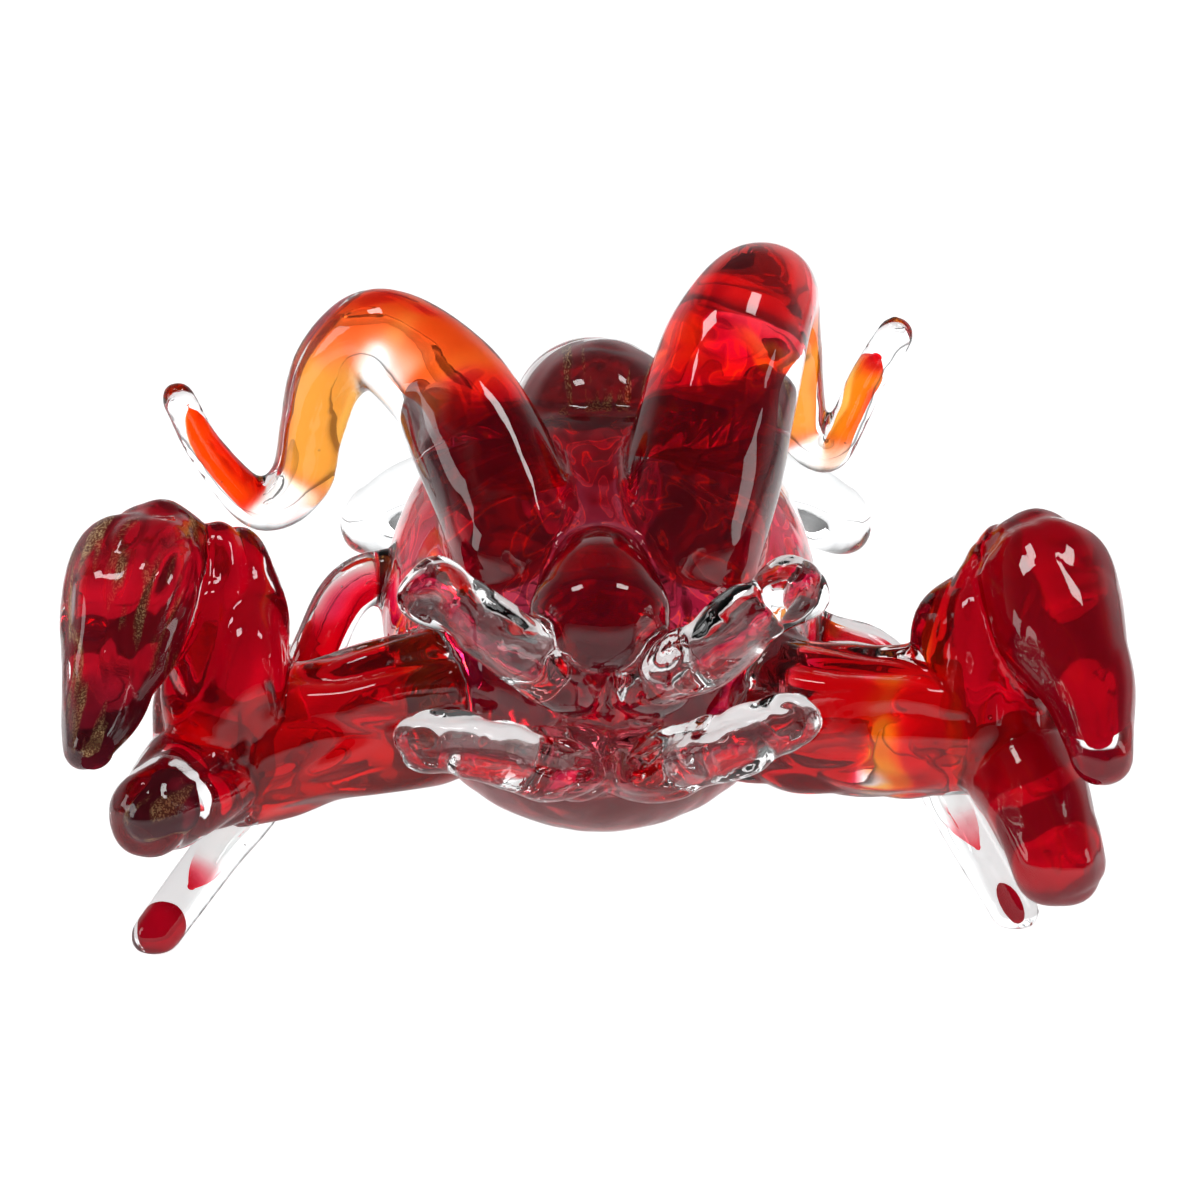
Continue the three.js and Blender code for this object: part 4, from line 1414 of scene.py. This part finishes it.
@dataclass
class Studio:
    """Pale floor, soft light and the camera at the photograph's angle.

    Mirrored surroundings are dimmed by the flagged share, as a polarising filter dims them.
    """

    target: tuple[float, float, float] = (0.557 * MM, -49.85 * MM, 71 * MM)
    distance: float = 1.2
    elevation_degrees: float = 15.0
    frame_width: float = 256.8 * MM
    sensor: float = 36.0
    table_glow: float = 0.95
    glow_span: tuple[float, float] = (-0.6, -0.26)
    glow_reach: tuple[float, float] = (0.45, 1.2)
    # painted shadow: the floor's glow that the glass sees is scaled from this share under the figure up to 1.45 beyond
    # shade_reach
    shade: float = 0.62
    shade_reach: tuple[float, float] = (0.1, 0.32)
    flagged: float = 0.65
    flagged_floor: float = 0.35
    ceiling_fall: float = 0.8
    side_lift: float = 0.6

    def camera(self) -> None:
        """Set the camera."""
        data = bpy.data.cameras.new("camera")
        data.sensor_width = self.sensor
        data.lens = self.sensor * self.distance / self.frame_width
        data.clip_end = 50.0
        camera = bpy.data.objects.new("camera", data)
        tilt = math.radians(self.elevation_degrees)
        target = Vector(self.target)
        camera.location = target + Vector((0, -math.cos(tilt), math.sin(tilt))) * self.distance
        camera.rotation_euler = (math.pi / 2 - tilt, 0, 0)
        bpy.context.scene.collection.objects.link(camera)
        bpy.context.scene.camera = camera

    def floor(self) -> None:
        """Lay the pale floor, which glows as a light table; the glow that reflections and the glass see is dimmed under
        the figure as a painted shadow.
        """
        bm = bmesh.new()
        bmesh.ops.create_grid(bm, x_segments=2, y_segments=2, size=30.0)
        mesh = bpy.data.meshes.new("floor")
        bm.to_mesh(mesh)
        bm.free()
        floor = bpy.data.objects.new("floor", mesh)
        bpy.context.scene.collection.objects.link(floor)
        g = Graph("floor_paper")
        place = g.add("TexCoord").outputs["Object"]
        grain = g.add("TexNoise", {"Vector": place, "Scale": 6.0, "Detail": 2.0})
        colour = g.ramp(grain.outputs["Fac"], ((0.3, (0.86, 0.86, 0.865)), (0.7, (0.89, 0.89, 0.89))))
        parts = g.add("SeparateXYZ", {0: place})
        near, far = self.glow_span
        ahead = g.add("MapRange", {"Value": parts.outputs["Y"], "From Min": near, "From Max": far, "To Min": 0.1})
        aside = g.add("Math", {0: parts.outputs["X"]}, operation="ABSOLUTE").outputs[0]
        inner, outer = self.glow_reach
        pool = g.add("MapRange", {"Value": aside, "From Min": inner, "From Max": outer, "To Min": self.table_glow,
                                  "To Max": 0.2})
        spread = g.add("Math", {0: ahead.outputs[0], 1: pool.outputs[0]}, operation="MULTIPLY").outputs[0]
        # painted shadow: the glow is dimmed near the middle of the floor, under the figure, for every ray but the
        # camera's
        away = g.add("VectorMath", {0: place}, operation="LENGTH").outputs["Value"]
        under, beyond = self.shade_reach
        shade = g.add("MapRange", {"Value": away, "From Min": under, "From Max": beyond, "To Min": self.shade,
                                   "To Max": 1.45})
        lit = g.add("Math", {0: spread, 1: shade.outputs[0]}, operation="MULTIPLY").outputs[0]
        ray = g.add("LightPath").outputs
        kept = g.add("Math", {0: ray["Is Reflection Ray"], 1: -self.flagged_floor, 2: 1.0}, operation="MULTIPLY_ADD").outputs[0]
        mirrored = g.add("Math", {0: lit, 1: kept}, operation="MULTIPLY").outputs[0]
        glow = g.add("Mix", {0: ray["Is Camera Ray"], 2: mirrored, 3: self.table_glow})
        paper = g.add(
            "BsdfPrincipled",
            {
                "Base Color": colour.outputs["Color"],
                "Roughness": 0.9,
                "Emission Color": (1.0, 1.0, 1.0, 1.0),
                "Emission Strength": glow.outputs[0],
            },
        )
        floor.data.materials.append(g.finish(paper.outputs["BSDF"]))

    def lights(self) -> None:
        """Hang two small window lights overhead and stand two dim cards at the sides."""
        for name, azimuth, height, away, wide, tall, watts in (
            ("window_left", -86, 68, 1.2, 0.2, 0.26, 1.6),
            ("window_right", 86, 68, 1.2, 0.2, 0.26, 1.6),
            ("card_left", -80, 14, 1.2, 0.3, 0.5, 1.5),
            ("card_right", 80, 14, 1.2, 0.3, 0.5, 1.5),
        ):
            data = bpy.data.lights.new(name, "AREA")
            data.shape = "RECTANGLE"
            data.size, data.size_y, data.energy = wide, tall, watts
            light = bpy.data.objects.new(name, data)
            turn, rise = math.radians(azimuth), math.radians(height)
            way = Vector((math.sin(turn) * math.cos(rise), -math.cos(turn) * math.cos(rise), math.sin(rise)))
            light.location = Vector(self.target) + way * away
            light.rotation_euler = way.to_track_quat("Z", "Y").to_euler()
            bpy.context.scene.collection.objects.link(light)

    def world(self) -> None:
        """Surround the figure with white behind it that falls off towards the camera."""
        world = bpy.data.worlds.new("studio")
        bpy.context.scene.world = world
        world.use_nodes = True
        tree = world.node_tree
        tree.nodes.clear()
        place = tree.nodes.new("ShaderNodeTexCoord")
        parts = tree.nodes.new("ShaderNodeSeparateXYZ")
        ramp = tree.nodes.new("ShaderNodeValToRGB")
        back = tree.nodes.new("ShaderNodeBackground")
        out = tree.nodes.new("ShaderNodeOutputWorld")
        tree.links.new(place.outputs["Generated"], parts.inputs[0])
        spread = tree.nodes.new("ShaderNodeMapRange")
        spread.inputs["From Min"].default_value = -1.0
        height = tree.nodes.new("ShaderNodeMath")
        height.operation = "MULTIPLY_ADD"
        height.inputs[1].default_value = -self.ceiling_fall
        aside = tree.nodes.new("ShaderNodeMath")
        aside.operation = "ABSOLUTE"
        sides = tree.nodes.new("ShaderNodeMath")
        sides.operation = "MULTIPLY_ADD"
        sides.inputs[1].default_value = self.side_lift
        tree.links.new(parts.outputs["Z"], height.inputs[0])
        tree.links.new(parts.outputs["Y"], height.inputs[2])
        tree.links.new(parts.outputs["X"], aside.inputs[0])
        tree.links.new(aside.outputs[0], sides.inputs[0])
        tree.links.new(height.outputs[0], sides.inputs[2])
        tree.links.new(sides.outputs[0], spread.inputs["Value"])
        tree.links.new(spread.outputs[0], ramp.inputs[0])
        ray = tree.nodes.new("ShaderNodeLightPath")
        kept = tree.nodes.new("ShaderNodeMath")
        kept.operation = "MULTIPLY_ADD"
        kept.inputs[1].default_value = -self.flagged
        kept.inputs[2].default_value = 1.0
        tree.links.new(ray.outputs["Is Reflection Ray"], kept.inputs[0])
        tree.links.new(kept.outputs[0], back.inputs[1])
        tree.links.new(ramp.outputs[0], back.inputs[0])
        tree.links.new(back.outputs[0], out.inputs[0])
        elements = ramp.color_ramp.elements
        for _ in range(2):
            elements.new(0.5)
        for element, (at, level) in zip(elements, ((0.0, 0.09), (0.5, 0.13), (0.7, 0.3), (0.9, 1.4))):
            element.position = at
            element.color = (level, level, level * 1.01, 1.0)

    def set_up(self) -> None:
        """Make everything round the figure."""
        self.camera()
        self.floor()
        self.lights()
        self.world()
        scene = bpy.context.scene
        scene.view_settings.view_transform = "Standard"
        scene.cycles.max_bounces = 32
        scene.cycles.transmission_bounces = 24
        scene.cycles.transparent_max_bounces = 48
        scene.cycles.sample_clamp_indirect = 4.0


def main() -> None:
    """Build the figure piece by piece, then the studio."""
    logging.basicConfig(level=logging.INFO, format="%(name)s: %(message)s")
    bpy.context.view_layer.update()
    bench = Bench()
    thorax = Thorax()
    body = Abdomen()
    abdomen = body.gathers(thorax)
    gathers = abdomen + TailFan().gathers(abdomen[0].end()) + Antennae().gathers(thorax)
    claws, legs = Claws(), Legs()
    gathers += Rostrum().gathers(thorax) + Feelers().gathers(thorax) + claws.gathers(thorax) + legs.gathers(thorax)

    curled = bench.finish(FilmGlass(swirl=0.66, swirl_scale=95.0, edge=0.5, thread=0.7), "film_curled")
    folded = bench.finish(FilmGlass(swirl=0.5, swirl_scale=42.0, turns=16.0, edge=0.95, thread=0.15), "film_folded")
    glittered = bench.finish(FilmGlass(swirl=0.4, swirl_scale=50.0, turns=18.0, edge=0.9, thread=0.1, glitter=0.85), "film_glittered")
    glittering = {"claw_left_thumb", "claw_left_finger", "abdomen", "shoulder"}
    skin = FusedSkin()
    skin.take("thorax", "thorax_casing", thorax.egg())
    skin.take("thorax", "thorax_casing", thorax.saddle())
    bench.lay(thorax.core(), "thorax_core_film", curled, Slot.RED, "thorax_core")
    shoulder = body.shoulder(thorax)
    skin.take("abdomen", "abdomen_casing", shoulder.solid())
    bench.lay(shoulder.core(), "shoulder_core_film", glittered, Slot.DARK)
    for gather in gathers:
        skin.take(gather.name, gather.node or gather.name + "_casing", gather.solid(), gather)
        if gather.core_share:
            film = glittered if gather.name in glittering else curled if "antenna" in gather.name else folded
            bench.lay(gather.core(), gather.name + "_core_film", film, gather.slot, gather.name + "_core")
    by_name = {gather.name: gather for gather in gathers}
    bulb = claws.bulb(by_name["claw_left_finger"])
    bench.lay(bulb.core(), "claw_left_finger_bulb", glittered, Slot.DARK)
    for pick, side in enumerate(("left", "right")):
        foot = legs.foot(by_name["leg_front_" + side], pick)
        bench.lay(foot.core(), f"leg_front_{side}_foot_film", folded, Slot.RED)
    bench.lay(Bubbles().build(gathers), "bubbles", bench.finish(AirBubble(), "air_bubble"), Slot.CLEAR)
    skin.part(bench)

    Studio().set_up()
    bpy.context.view_layer.update()


if __name__ == "__main__":
    main()
